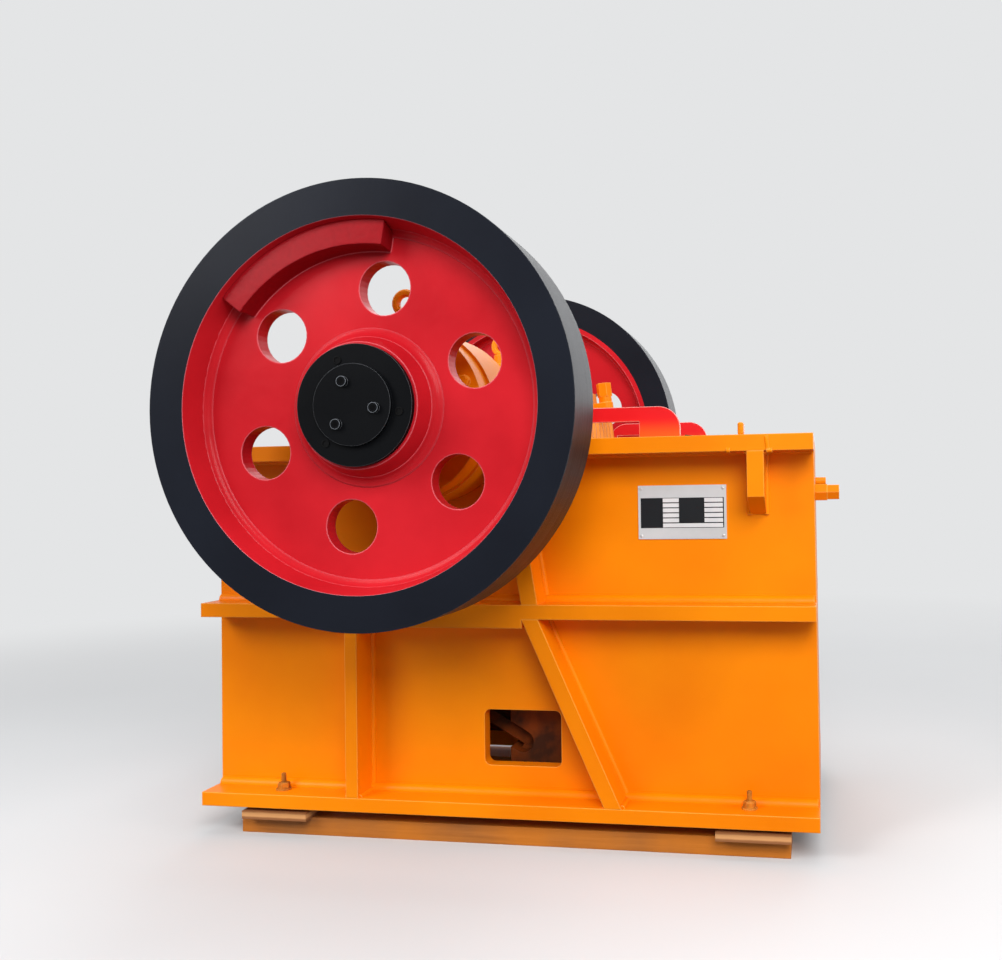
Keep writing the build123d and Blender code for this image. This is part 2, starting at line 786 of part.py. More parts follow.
with BuildPart() as flywheel_near:
    with BuildSketch(wheel_section_plane):
        with BuildLine():
            Polyline(
                (web_outer_y, web_rim_radius),
                (web_outer_y, hub_root_radius),
                (hub_outer_y, hub_face_radius),
                (hub_outer_y, shaft_seat_radius),
                (hub_inner_y, shaft_seat_radius),
                (hub_inner_y, hub_back_radius),
                (web_inner_y, hub_back_radius),
                (web_inner_y, web_rim_radius),
                close=True,
            )
        make_face()
    revolve(axis=wheel_axis)
    with BuildSketch(wheel_face_plane.offset(web_inner_y)):
        with PolarLocations(hole_circle, hole_count, start_angle=hole_start_angle):
            RegularPolygon(hole_radius, hole_sides)
    extrude(amount=web_thickness, mode=Mode.SUBTRACT)
    add(balance_weight.part)

with BuildPart() as flywheel_far:
    mirror(flywheel_near.part, about=Plane.XZ)

with BuildPart() as lock_rings:
    with BuildSketch(wheel_face_plane.offset(hub_outer_y)):
        Circle(lock_ring_radius)
    extrude(amount=lock_ring_thickness)
    mirror(about=Plane.XZ)

with BuildPart() as end_caps:
    with BuildSketch(wheel_face_plane.offset(hub_outer_y + lock_ring_thickness)):
        Circle(end_cap_radius)
    extrude(amount=end_cap_thickness)
    with BuildSketch(wheel_face_plane.offset(hub_outer_y + lock_ring_thickness + end_cap_thickness)):
        with PolarLocations(cap_screw_circle, cap_screw_count, start_angle=cap_screw_start_angle):
            RegularPolygon(cap_screw_radius, cap_screw_sides)
    extrude(amount=cap_screw_height)
    mirror(about=Plane.XZ)

# Eccentric shaft, its throw opposite the wheels' balance weights
throw_angle = weight_start_angle + weight_sweep / 2 + 180.0
throw_offset = (eccentricity * cos(radians(throw_angle)), eccentricity * sin(radians(throw_angle)))
eccentric_end_gap = 5.0
with BuildPart() as eccentric_shaft:
    with BuildSketch(wheel_face_plane):
        Circle(journal_radius)
    extrude(amount=hub_inner_y - seat_gap, both=True)
    with BuildSketch(wheel_face_plane):
        Circle(shaft_seat_radius)
    extrude(amount=hub_outer_y, both=True)
    with BuildSketch(wheel_face_plane):
        with Locations(throw_offset):
            Circle(eccentric_radius)
    extrude(amount=housing_inner_y - eccentric_end_gap, both=True)

pieces = {
    "side_plate_near": side_plate_near,
    "side_plate_far": side_plate_far,
    "front_wall": front_wall,
    "fixed_jaw_seat": fixed_jaw_seat,
    "front_ribs": front_ribs,
    "rear_wall": rear_wall,
    "rear_ties": rear_ties,
    "base_flange_near": base_flange_near,
    "base_flange_far": base_flange_far,
    "middle_flange_near": middle_flange_near,
    "middle_flange_far": middle_flange_far,
    "top_flange_near": top_flange_near,
    "top_flange_far": top_flange_far,
    "vertical_ribs": vertical_ribs,
    "diagonal_ribs": diagonal_ribs,
    "top_gussets": top_gussets,
    "bearing_housing_near": bearing_housing_near,
    "bearing_housing_far": bearing_housing_far,
    "bearing_cover_near": bearing_cover_near,
    "bearing_cover_far": bearing_cover_far,
    "lifting_eyes": lifting_eyes,
    "fixed_jaw_plate": fixed_jaw_plate,
    "swing_jaw_plate": swing_jaw_plate,
    "cheek_plates": cheek_plates,
    "toggle_plate": toggle_plate,
    "toggle_seats": toggle_seats,
    "adjusting_block": adjusting_block,
    "swing_jaw": swing_jaw,
    "jaw_clamp": jaw_clamp,
    "tension_rod": tension_rod,
    "tension_spring": tension_spring,
    "guard_plates": guard_plates,
    "wall_studs": wall_studs,
    "nameplate": nameplate,
    "skid_beams": skid_beams,
    "skid_planks": skid_planks,
    "skid_pads": skid_pads,
    "flywheel_rim_near": flywheel_rim_near,
    "flywheel_rim_far": flywheel_rim_far,
    "flywheel_near": flywheel_near,
    "flywheel_far": flywheel_far,
    "lock_rings": lock_rings,
    "end_caps": end_caps,
    "eccentric_shaft": eccentric_shaft,
}
for piece_name, piece in pieces.items():
    piece.part.label = piece_name
    export_step(piece.part, f"parts/{piece_name}.step")
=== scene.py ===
"""Looks of the jaw crusher: finishes, welds, fasteners, nameplate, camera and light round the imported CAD."""

from __future__ import annotations

import json
import logging
import math
import sys
from collections.abc import Sequence
from dataclasses import dataclass, field, replace
from enum import Enum

import bmesh
import bpy
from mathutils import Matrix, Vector


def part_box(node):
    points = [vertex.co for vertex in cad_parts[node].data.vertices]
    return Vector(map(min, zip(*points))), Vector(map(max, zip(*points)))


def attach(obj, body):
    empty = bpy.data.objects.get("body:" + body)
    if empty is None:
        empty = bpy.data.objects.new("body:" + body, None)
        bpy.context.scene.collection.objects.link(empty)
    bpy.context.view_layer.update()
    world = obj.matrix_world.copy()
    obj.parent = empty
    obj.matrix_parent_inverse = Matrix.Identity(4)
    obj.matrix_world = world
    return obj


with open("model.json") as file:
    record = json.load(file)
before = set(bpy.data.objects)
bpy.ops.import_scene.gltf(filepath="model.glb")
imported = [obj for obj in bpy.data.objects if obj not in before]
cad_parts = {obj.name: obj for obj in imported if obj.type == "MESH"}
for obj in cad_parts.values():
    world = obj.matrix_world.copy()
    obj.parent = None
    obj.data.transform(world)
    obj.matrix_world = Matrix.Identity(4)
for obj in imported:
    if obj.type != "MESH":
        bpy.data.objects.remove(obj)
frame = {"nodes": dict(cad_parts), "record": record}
log = logging.getLogger("jaw_crusher")

Socket = bpy.types.NodeSocket
Point = tuple[float, float, float]

PLAIN_SCALE_MM = 1000.0
CAST_COAT_ROUGHNESS = 0.2
SCREW_DEGREES = (111.0, -9.0, -129.0)
HEAD_BURY = 0.001
RIVET_BURY = 0.0004
STUD_BURY = 0.002
WASHER_SIDES = 28
HEX_SIDES = 6


class Body(Enum):
    """The bodies of the frame that a piece can ride on."""

    FRAME = "frame"
    ROTOR = "rotor"


class Slot(Enum):
    """The record's material slots."""

    ORANGE = "orange_paint"
    RED = "red_paint"
    BLACK = "black_paint"
    MANGANESE = "manganese_steel"
    TURNED = "turned_steel"
    SPRING = "spring_steel"
    ALUMINIUM = "plate_aluminium"
    BEAM = "beam_wood"
    PLANK = "plank_wood"
    PAD = "pad_rubber"


class Side(Enum):
    """Near is towards the camera, along -Y."""

    NEAR = -1
    FAR = 1


def srgb(code: str) -> tuple[float, float, float, float]:
    """Turns a hex colour into linear values.

    Args:
        code: an sRGB colour such as "#C8232D".

    Returns:
        The linear red, green, blue and an alpha of 1.
    """
    parts = [int(code[i : i + 2], 16) / 255 for i in (1, 3, 5)]
    linear = [p / 12.92 if p <= 0.04045 else ((p + 0.055) / 1.055) ** 2.4 for p in parts]
    return (linear[0], linear[1], linear[2], 1.0)


def add_node(
    tree: bpy.types.NodeTree, kind: str, sockets: dict | None = None, **settings: object
) -> bpy.types.Node:
    """Adds one node with its settings, values and links.

    Args:
        tree: the tree that gets the node.
        kind: Blender's name for the node's type.
        sockets: input name or index to a value, or to the output socket that feeds it.
        settings: attributes of the node.

    Returns:
        The new node.
    """
    node = tree.nodes.new(kind)
    for name, value in settings.items():
        setattr(node, name, value)
    feed(tree, node, sockets or {})
    return node


def feed(tree: bpy.types.NodeTree, node: bpy.types.Node, sockets: dict) -> None:
    """Links or sets a node's inputs.

    Args:
        tree: the node's tree.
        node: the node.
        sockets: input name or index to a value, or to the output socket that feeds it.
    """
    for key, value in sockets.items():
        if isinstance(value, Socket):
            tree.links.new(value, node.inputs[key])
        else:
            node.inputs[key].default_value = value


def per_metre(millimetres: float) -> float:
    """Noise scale that gives features of about this many millimetres."""
    return 1000.0 / millimetres


def new_material(name: str) -> tuple[bpy.types.Material, bpy.types.Node]:
    """Makes a material with a bare Principled shader.

    Args:
        name: the material's name.

    Returns:
        The material and its shader node.
    """
    material = bpy.data.materials.new(name)
    material.use_nodes = True
    return material, material.node_tree.nodes["Principled BSDF"]


def patches(
    tree: bpy.types.NodeTree,
    place: Socket,
    size_mm: float,
    detail: float,
    bounds: tuple[float, float],
    shares: tuple[float, float] = (0.0, 1.0),
) -> Socket:
    """Soft patches that come and go over the surface.

    Args:
        tree: the material's tree.
        place: where the patches are read.
        size_mm: how large they are, in the place's own scale.
        detail: how broken their edges are.
        bounds: the noise values at which a patch starts and is whole.
        shares: the result outside and inside the patches.

    Returns:
        The share's socket.
    """
    sockets = {"Vector": place, "Scale": per_metre(size_mm), "Detail": detail}
    noise = add_node(tree, "ShaderNodeTexNoise", sockets)
    share = add_node(
        tree,
        "ShaderNodeMapRange",
        {
            "Value": noise.outputs["Fac"],
            "From Min": bounds[0],
            "From Max": bounds[1],
            "To Min": shares[0],
            "To Max": shares[1],
        },
    )
    return share.outputs["Result"]


def relief(
    tree: bpy.types.NodeTree, place: Socket, size_mm: float, detail: float, depth_mm: float, normal: Socket
) -> Socket:
    """A noisy relief laid over a surface.

    Args:
        tree: the material's tree.
        place: where the noise is read.
        size_mm: how large its lumps are.
        detail: how broken they are.
        depth_mm: how deep they are.
        normal: the surface's normal.

    Returns:
        The new normal's socket.
    """
    noise = add_node(
        tree, "ShaderNodeTexNoise", {"Vector": place, "Scale": per_metre(size_mm), "Detail": detail}
    )
    bump = {"Height": noise.outputs["Fac"], "Distance": depth_mm / 1000, "Normal": normal}
    return add_node(tree, "ShaderNodeBump", bump).outputs["Normal"]


def from_axis(tree: bpy.types.NodeTree, place: Socket, axis: Vector) -> Socket:
    """The distance of a point from a line along Y.

    Args:
        tree: the material's tree.
        place: the point.
        axis: a point on the line.

    Returns:
        The distance's socket.
    """
    apart = add_node(tree, "ShaderNodeVectorMath", {0: place, 1: (axis.x, 0.0, axis.z)}, operation="SUBTRACT")
    flat = add_node(
        tree, "ShaderNodeVectorMath", {0: apart.outputs["Vector"], 1: (1.0, 0.0, 1.0)}, operation="MULTIPLY"
    )
    length = add_node(tree, "ShaderNodeVectorMath", {0: flat.outputs["Vector"]}, operation="LENGTH")
    return length.outputs["Value"]


def from_middle(tree: bpy.types.NodeTree, place: Socket) -> Socket:
    """How far out a point is from the machine's middle plane, on either side.

    Args:
        tree: the material's tree.
        place: the point.

    Returns:
        The distance's socket.
    """
    split = add_node(tree, "ShaderNodeSeparateXYZ", {0: place})
    return add_node(tree, "ShaderNodeMath", {0: split.outputs["Y"]}, operation="ABSOLUTE").outputs[0]


@dataclass(frozen=True)
class Enamel:
    """Air-drying machine enamel, sprayed: an even film with a little orange peel, and a pale painted highlight
    along edges, partly thin paint.

    The peel of such a film is about 1 mm wide; it is drawn several times coarser, so that it shows.
    """

    name: str
    colour: str
    deep: str
    edge: str
    roughness: float
    coat: float
    cloud_mm: float
    lump_mm: float
    lump_depth_mm: float
    peel_mm: float
    peel_depth_mm: float
    edge_mm: float
    edge_highlight_share: float
    gloss: float = 0.2
    edge_highlight_turn: tuple[float, float] = (0.995, 0.86)

    def film(self, tree: bpy.types.NodeTree) -> tuple[Socket, Socket]:
        """Builds the film's colour and normal.

        Args:
            tree: the material's tree.

        Returns:
            The colour socket and the normal socket.
        """
        place = add_node(tree, "ShaderNodeTexCoord").outputs["Object"]
        cloud = patches(tree, place, self.cloud_mm, detail=4.0, bounds=(0.35, 0.7))
        body = add_node(
            tree, "ShaderNodeMix", {0: cloud, 6: srgb(self.colour), 7: srgb(self.deep)}, data_type="RGBA"
        )
        rounded = add_node(tree, "ShaderNodeBevel", {"Radius": self.edge_mm / 1000}, samples=6)
        true_normal = add_node(tree, "ShaderNodeNewGeometry").outputs["Normal"]
        turned = add_node(
            tree,
            "ShaderNodeVectorMath",
            {0: rounded.outputs["Normal"], 1: true_normal},
            operation="DOT_PRODUCT",
        )
        # The pale edge colour mixed in below is a painted highlight on every edge, partly thin paint.
        edge = add_node(
            tree,
            "ShaderNodeMapRange",
            {
                "Value": turned.outputs["Value"],
                "From Min": self.edge_highlight_turn[0],
                "From Max": self.edge_highlight_turn[1],
                "To Max": self.edge_highlight_share,
            },
        )
        colour = add_node(
            tree,
            "ShaderNodeMix",
            {0: edge.outputs["Result"], 6: body.outputs[2], 7: srgb(self.edge)},
            data_type="RGBA",
        )
        even = rounded.outputs["Normal"]
        lumped = relief(tree, place, self.lump_mm, 2.0, self.lump_depth_mm, even)
        peeled = relief(tree, place, self.peel_mm, 1.0, self.peel_depth_mm, lumped)
        return colour.outputs[2], peeled

    def set_sheen(self, shader: bpy.types.Node, coat_roughness: float = 0.15) -> None:
        """Sets how the film shines, on the shader's own sockets.

        Args:
            shader: the material's shader.
            coat_roughness: how soft the glint of the film's clear top is.
        """
        sheen = {
            "Roughness": self.roughness,
            "Specular IOR Level": self.gloss,
            "Coat Weight": self.coat,
            "Coat Roughness": coat_roughness,
        }
        feed(shader.id_data, shader, sheen)

    def make(self) -> bpy.types.Material:
        """Builds the material."""
        material, shader = new_material(self.name)
        tree = material.node_tree
        colour, normal = self.film(tree)
        feed(tree, shader, {"Base Color": colour, "Normal": normal})
        self.set_sheen(shader)
        return material


@dataclass(frozen=True)
class RimEnamel:
    """A cast rim: satin black faces, red in its bore, and a tread rubbed dull along its turning marks.

    The marks of the tool are well under 1 mm apart; they are drawn at 2.6 mm, so that they show.
    """

    name: str
    outside: Enamel
    inside: Enamel
    axis: Vector
    bore: float
    tread: float
    groove_y: float
    groove_half: float
    worn: str = "#383B40"
    streak: str = "#202226"
    # Near-black painted shade of a groove that is not cut.
    groove_shade: str = "#08090B"
    streak_mm: float = 2.6
    streak_run_mm: float = 240.0
    streak_depth_mm: float = 0.12
    tread_metallic: float = 0.9
    tread_rougher: float = 0.14

    def make(self) -> bpy.types.Material:
        """Builds the material."""
        material, shader = new_material(self.name)
        tree = material.node_tree
        black, black_normal = self.outside.film(tree)
        red, _ = self.inside.film(tree)
        place = add_node(tree, "ShaderNodeTexCoord").outputs["Object"]
        radius = from_axis(tree, place, self.axis)
        in_bore = add_node(tree, "ShaderNodeMath", {0: radius, 1: self.bore}, operation="LESS_THAN")
        on_tread = add_node(tree, "ShaderNodeMath", {0: radius, 1: self.tread}, operation="GREATER_THAN")
        away = add_node(
            tree,
            "ShaderNodeMath",
            {0: from_middle(tree, place), 1: self.groove_y, 2: self.groove_half},
            operation="COMPARE",
        )
        stretched = add_node(
            tree,
            "ShaderNodeMapping",
            {
                "Vector": place,
                "Scale": (
                    per_metre(self.streak_run_mm),
                    per_metre(self.streak_mm),
                    per_metre(self.streak_run_mm),
                ),
            },
        )
        marks = patches(
            tree, stretched.outputs["Vector"], PLAIN_SCALE_MM, detail=3.0, bounds=(0.38, 0.62)
        )
        worn = add_node(
            tree, "ShaderNodeMix", {0: marks, 6: srgb(self.worn), 7: srgb(self.streak)}, data_type="RGBA"
        )
        # A near-black line painted round the tread, standing for the shade in an uncut groove.
        with_groove_shade = add_node(
            tree,
            "ShaderNodeMix",
            {0: away.outputs[0], 6: worn.outputs[2], 7: srgb(self.groove_shade)},
            data_type="RGBA",
        )
        with_tread = add_node(
            tree,
            "ShaderNodeMix",
            {0: on_tread.outputs[0], 6: black, 7: with_groove_shade.outputs[2]},
            data_type="RGBA",
        )
        colour = add_node(
            tree,
            "ShaderNodeMix",
            {0: in_bore.outputs[0], 6: with_tread.outputs[2], 7: red},
            data_type="RGBA",
        )
        depth = add_node(tree, "ShaderNodeMath", {0: marks, 1: on_tread.outputs[0]}, operation="MULTIPLY")
        turned = add_node(
            tree,
            "ShaderNodeBump",
            {"Height": depth.outputs[0], "Distance": self.streak_depth_mm / 1000, "Normal": black_normal},
        )
        metal = add_node(
            tree, "ShaderNodeMath", {0: on_tread.outputs[0], 1: self.tread_metallic}, operation="MULTIPLY"
        )
        rough = add_node(
            tree,
            "ShaderNodeMath",
            {0: on_tread.outputs[0], 1: self.tread_rougher, 2: self.outside.roughness},
            operation="MULTIPLY_ADD",
        )
        surface = {
            "Base Color": colour.outputs[2],
            "Normal": turned.outputs["Normal"],
            "Metallic": metal.outputs[0],
            "Roughness": rough.outputs[0],
        }
        feed(tree, shader, surface)
        self.outside.set_sheen(shader, CAST_COAT_ROUGHNESS)
        return material


@dataclass(frozen=True)
class FootReflectionEnamel:
    """Red sheet enamel with an orange painted reflection of the frame at its foot, fading out upwards."""

    name: str
    film: Enamel
    # Orange of the painted reflection at the foot.
    mist: str
    foot: float
    clear: float
    reflection_strongest: float = 0.42

    def make(self) -> bpy.types.Material:
        """Builds the material."""
        material, shader = new_material(self.name)
        tree = material.node_tree
        sheet, normal = self.film.film(tree)
        place = add_node(tree, "ShaderNodeTexCoord").outputs["Object"]
        split = add_node(tree, "ShaderNodeSeparateXYZ", {0: place})
        share = add_node(
            tree,
            "ShaderNodeMapRange",
            {
                "Value": split.outputs["Z"],
                "From Min": self.foot,
                "From Max": self.clear,
                "To Min": self.reflection_strongest,
                "To Max": 0.0,
            },
            interpolation_type="SMOOTHSTEP",
        )
        # Orange painted reflection of the frame, strongest at the foot and gone higher up.
        colour = add_node(
            tree,
            "ShaderNodeMix",
            {0: share.outputs["Result"], 6: sheet, 7: srgb(self.mist)},
            data_type="RGBA",
        )
        feed(tree, shader, {"Base Color": colour.outputs[2], "Normal": normal})
        self.film.set_sheen(shader)
        return material


@dataclass(frozen=True)
class WheelEnamel:
    """Red enamel on a smooth cast web, thinner and duller on the rough cast weight that stands out of it.

    The pits of the sand are 1 to 3 mm wide; they are drawn at 9 mm, so that they show.
    """

    name: str
    film: Enamel
    axis: Vector
    weight_from: float
    web_y: float
    cast: str = "#800C14"
    cast_deep: str = "#960F18"
    cast_rougher: float = 0.06
    pit_mm: float = 9.0
    pit_depth_mm: float = 0.4

    def make(self) -> bpy.types.Material:
        """Builds the material."""
        material, shader = new_material(self.name)
        tree = material.node_tree
        web, normal = self.film.film(tree)
        place = add_node(tree, "ShaderNodeTexCoord").outputs["Object"]
        radius = from_axis(tree, place, self.axis)
        beyond = add_node(tree, "ShaderNodeMath", {0: radius, 1: self.weight_from}, operation="GREATER_THAN")
        proud = add_node(
            tree, "ShaderNodeMath", {0: from_middle(tree, place), 1: self.web_y}, operation="GREATER_THAN"
        )
        weight = add_node(
            tree, "ShaderNodeMath", {0: beyond.outputs[0], 1: proud.outputs[0]}, operation="MULTIPLY"
        )
        pits = add_node(
            tree, "ShaderNodeTexNoise", {"Vector": place, "Scale": per_metre(self.pit_mm), "Detail": 5.0}
        )
        cast = add_node(
            tree,
            "ShaderNodeMix",
            {0: pits.outputs["Fac"], 6: srgb(self.cast), 7: srgb(self.cast_deep)},
            data_type="RGBA",
        )
        colour = add_node(
            tree, "ShaderNodeMix", {0: weight.outputs[0], 6: web, 7: cast.outputs[2]}, data_type="RGBA"
        )
        depth = add_node(
            tree, "ShaderNodeMath", {0: pits.outputs["Fac"], 1: weight.outputs[0]}, operation="MULTIPLY"
        )
        pitted = add_node(
            tree,
            "ShaderNodeBump",
            {"Height": depth.outputs[0], "Distance": self.pit_depth_mm / 1000, "Normal": normal},
        )
        rough = add_node(
            tree,
            "ShaderNodeMath",
            {0: weight.outputs[0], 1: self.cast_rougher, 2: self.film.roughness},
            operation="MULTIPLY_ADD",
        )
        surface = {
            "Base Color": colour.outputs[2],
            "Normal": pitted.outputs["Normal"],
            "Roughness": rough.outputs[0],
        }
        feed(tree, shader, surface)
        self.film.set_sheen(shader, CAST_COAT_ROUGHNESS)
        return material


@dataclass(frozen=True)
class SocketEnamel:
    """The end caps' hub black, with near-black painted shade in the screws' sockets and a grey painted
    highlight ring round each screw, partly rubbed wear.
    """

    name: str
    film: Enamel
    axis: Vector
    circle: float
    degrees: tuple[float, ...]
    face_y: float
    socket: float
    screw_highlight_from: float = 0.0090
    screw_highlight_to: float = 0.0104
    # Grey of the painted highlight ring round each screw, partly rubbed wear.
    rubbed: str = "#6A6E73"
    socket_painted_shade: str = "#020203"

    def make(self) -> bpy.types.Material:
        """Builds the material."""
        material, shader = new_material(self.name)
        tree = material.node_tree
        black, normal = self.film.film(tree)
        place = add_node(tree, "ShaderNodeTexCoord").outputs["Object"]
        nearest: Socket | None = None
        for degree in self.degrees:
            angle = math.radians(degree)
            centre = Vector(
                (
                    self.axis.x + self.circle * math.cos(angle),
                    0.0,
                    self.axis.z + self.circle * math.sin(angle),
                )
            )
            apart = from_axis(tree, place, centre)
            if nearest is None:
                nearest = apart
            else:
                nearer = add_node(tree, "ShaderNodeMath", {0: nearest, 1: apart}, operation="MINIMUM")
                nearest = nearer.outputs[0]
        # Near-black painted shade fills each screw's socket on the cap's face.
        inside = add_node(tree, "ShaderNodeMath", {0: nearest, 1: self.socket}, operation="LESS_THAN")
        on_top = add_node(
            tree, "ShaderNodeMath", {0: from_middle(tree, place), 1: self.face_y}, operation="GREATER_THAN"
        )
        socket_painted_shade = add_node(
            tree, "ShaderNodeMath", {0: inside.outputs[0], 1: on_top.outputs[0]}, operation="MULTIPLY"
        )
        # Painted highlight: a grey ring round each screw on the cap's face, partly rubbed wear.
        ring = add_node(
            tree,
            "ShaderNodeMath",
            {
                0: nearest,
                1: (self.screw_highlight_from + self.screw_highlight_to) / 2,
                2: (self.screw_highlight_to - self.screw_highlight_from) / 2,
            },
            operation="COMPARE",
        )
        bright = add_node(
            tree, "ShaderNodeMath", {0: ring.outputs[0], 1: on_top.outputs[0]}, operation="MULTIPLY"
        )
        worn = add_node(
            tree, "ShaderNodeMix", {0: bright.outputs[0], 6: black, 7: srgb(self.rubbed)}, data_type="RGBA"
        )
        colour = add_node(
            tree,
            "ShaderNodeMix",
            {0: socket_painted_shade.outputs[0], 6: worn.outputs[2], 7: srgb(self.socket_painted_shade)},
            data_type="RGBA",
        )
        feed(tree, shader, {"Base Color": colour.outputs[2], "Normal": normal})
        self.film.set_sheen(shader)
        return material


@dataclass(frozen=True)
class LowShadeEnamel:
    """Enamel that is plain above a level and turns to patchy brown painted shade below it, growing matt there.
    """

    name: str
    plain_film: Enamel
    shade_tone: str
    deep_shade_tone: str
    shade_begins: float
    shade_full: float
    shade_patch_mm: float = 60.0
    low_roughness: float = 0.7
    gloss: float = 0.2

    def make(self) -> bpy.types.Material:
        """Builds the material."""
        material, shader = new_material(self.name)
        tree = material.node_tree
        paint, normal = self.plain_film.film(tree)
        place = add_node(tree, "ShaderNodeTexCoord").outputs["Object"]
        split = add_node(tree, "ShaderNodeSeparateXYZ", {0: place})
        # Below the level the colour goes over to patchy brown painted shade.
        low = add_node(
            tree,
            "ShaderNodeMapRange",
            {"Value": split.outputs["Z"], "From Min": self.shade_begins, "From Max": self.shade_full},
        )
        shade_patches = patches(tree, place, self.shade_patch_mm, detail=4.0, bounds=(0.38, 0.64))
        shade_colour = add_node(
            tree, "ShaderNodeMix", {0: shade_patches, 6: srgb(self.shade_tone), 7: srgb(self.deep_shade_tone)}, data_type="RGBA"
        )
        colour = add_node(
            tree,
            "ShaderNodeMix",
            {0: low.outputs["Result"], 6: paint, 7: shade_colour.outputs[2]},
            data_type="RGBA",
        )
        rough = add_node(
            tree,
            "ShaderNodeMapRange",
            {"Value": low.outputs["Result"], "To Min": self.plain_film.roughness, "To Max": self.low_roughness},
        )
        surface = {
            "Base Color": colour.outputs[2],
            "Normal": normal,
            "Roughness": rough.outputs["Result"],
            "Specular IOR Level": self.gloss,
        }
        feed(tree, shader, surface)
        return material


@dataclass(frozen=True)
class Metal:
    """Bare metal, cast, turned, rolled or brushed: tone and grain that run one way or none."""

    name: str
    colour: str
    stain: str
    metallic: float
    roughness: float
    grain_mm: Point
    grain_depth_mm: float
    stain_mm: float
    stain_share: float = 0.6
    edge_mm: float = 1.0
    overspray: str = "#F08A12"
    overspray_above: float | None = None
    overspray_mm: float = 18.0
    overspray_ragged: float = 0.03
    overspray_fade: tuple[float, float] = (0.02, 0.04)

    def make(self) -> bpy.types.Material:
        """Builds the material."""
        material, shader = new_material(self.name)
        tree = material.node_tree
        place = add_node(tree, "ShaderNodeTexCoord").outputs["Object"]
        stains = patches(
            tree, place, self.stain_mm, detail=5.0, bounds=(0.42, 0.66), shares=(0.0, self.stain_share)
        )
        colour = add_node(
            tree, "ShaderNodeMix", {0: stains, 6: srgb(self.colour), 7: srgb(self.stain)}, data_type="RGBA"
        )
        grain_place = add_node(
            tree, "ShaderNodeMapping", {"Vector": place, "Scale": tuple(per_metre(g) for g in self.grain_mm)}
        )
        grain = add_node(
            tree, "ShaderNodeTexNoise", {"Vector": grain_place.outputs["Vector"], "Scale": 1.0, "Detail": 3.0}
        )
        rounded = add_node(tree, "ShaderNodeBevel", {"Radius": self.edge_mm / 1000}, samples=4)
        bumped = add_node(
            tree,
            "ShaderNodeBump",
            {
                "Height": grain.outputs["Fac"],
                "Distance": self.grain_depth_mm / 1000,
                "Normal": rounded.outputs["Normal"],
            },
        )
        surface = {
            "Base Color": colour.outputs[2],
            "Normal": bumped.outputs["Normal"],
            "Metallic": self.metallic,
            "Roughness": self.roughness,
        }
        feed(tree, shader, surface)
        if self.overspray_above is not None:
            self.spray_over(tree, shader, place, colour.outputs[2])
        return material

    def spray_over(
        self, tree: bpy.types.NodeTree, shader: bpy.types.Node, place: Socket, bare: Socket
    ) -> None:
        """Lets the frame's paint fade onto the metal above a level.

        Args:
            tree: the material's tree.
            shader: its shader.
            place: the object coordinates.
            bare: the metal's colour.
        """
        split = add_node(tree, "ShaderNodeSeparateXYZ", {0: place})
        mist = add_node(
            tree,
            "ShaderNodeTexNoise",
            {"Vector": place, "Scale": per_metre(self.overspray_mm), "Detail": 3.0},
        )
        level = add_node(
            tree,
            "ShaderNodeMath",
            {0: mist.outputs["Fac"], 1: self.overspray_ragged, 2: split.outputs["Z"]},
            operation="MULTIPLY_ADD",
        )
        sprayed = add_node(
            tree,
            "ShaderNodeMapRange",
            {
                "Value": level.outputs[0],
                "From Min": self.overspray_above - self.overspray_fade[0],
                "From Max": self.overspray_above + self.overspray_fade[1],
            },
        )
        colour = add_node(
            tree,
            "ShaderNodeMix",
            {0: sprayed.outputs["Result"], 6: bare, 7: srgb(self.overspray)},
            data_type="RGBA",
        )
        metal = add_node(
            tree,
            "ShaderNodeMapRange",
            {"Value": sprayed.outputs["Result"], "To Min": self.metallic, "To Max": 0.0},
        )
        feed(tree, shader, {"Base Color": colour.outputs[2], "Metallic": metal.outputs["Result"]})


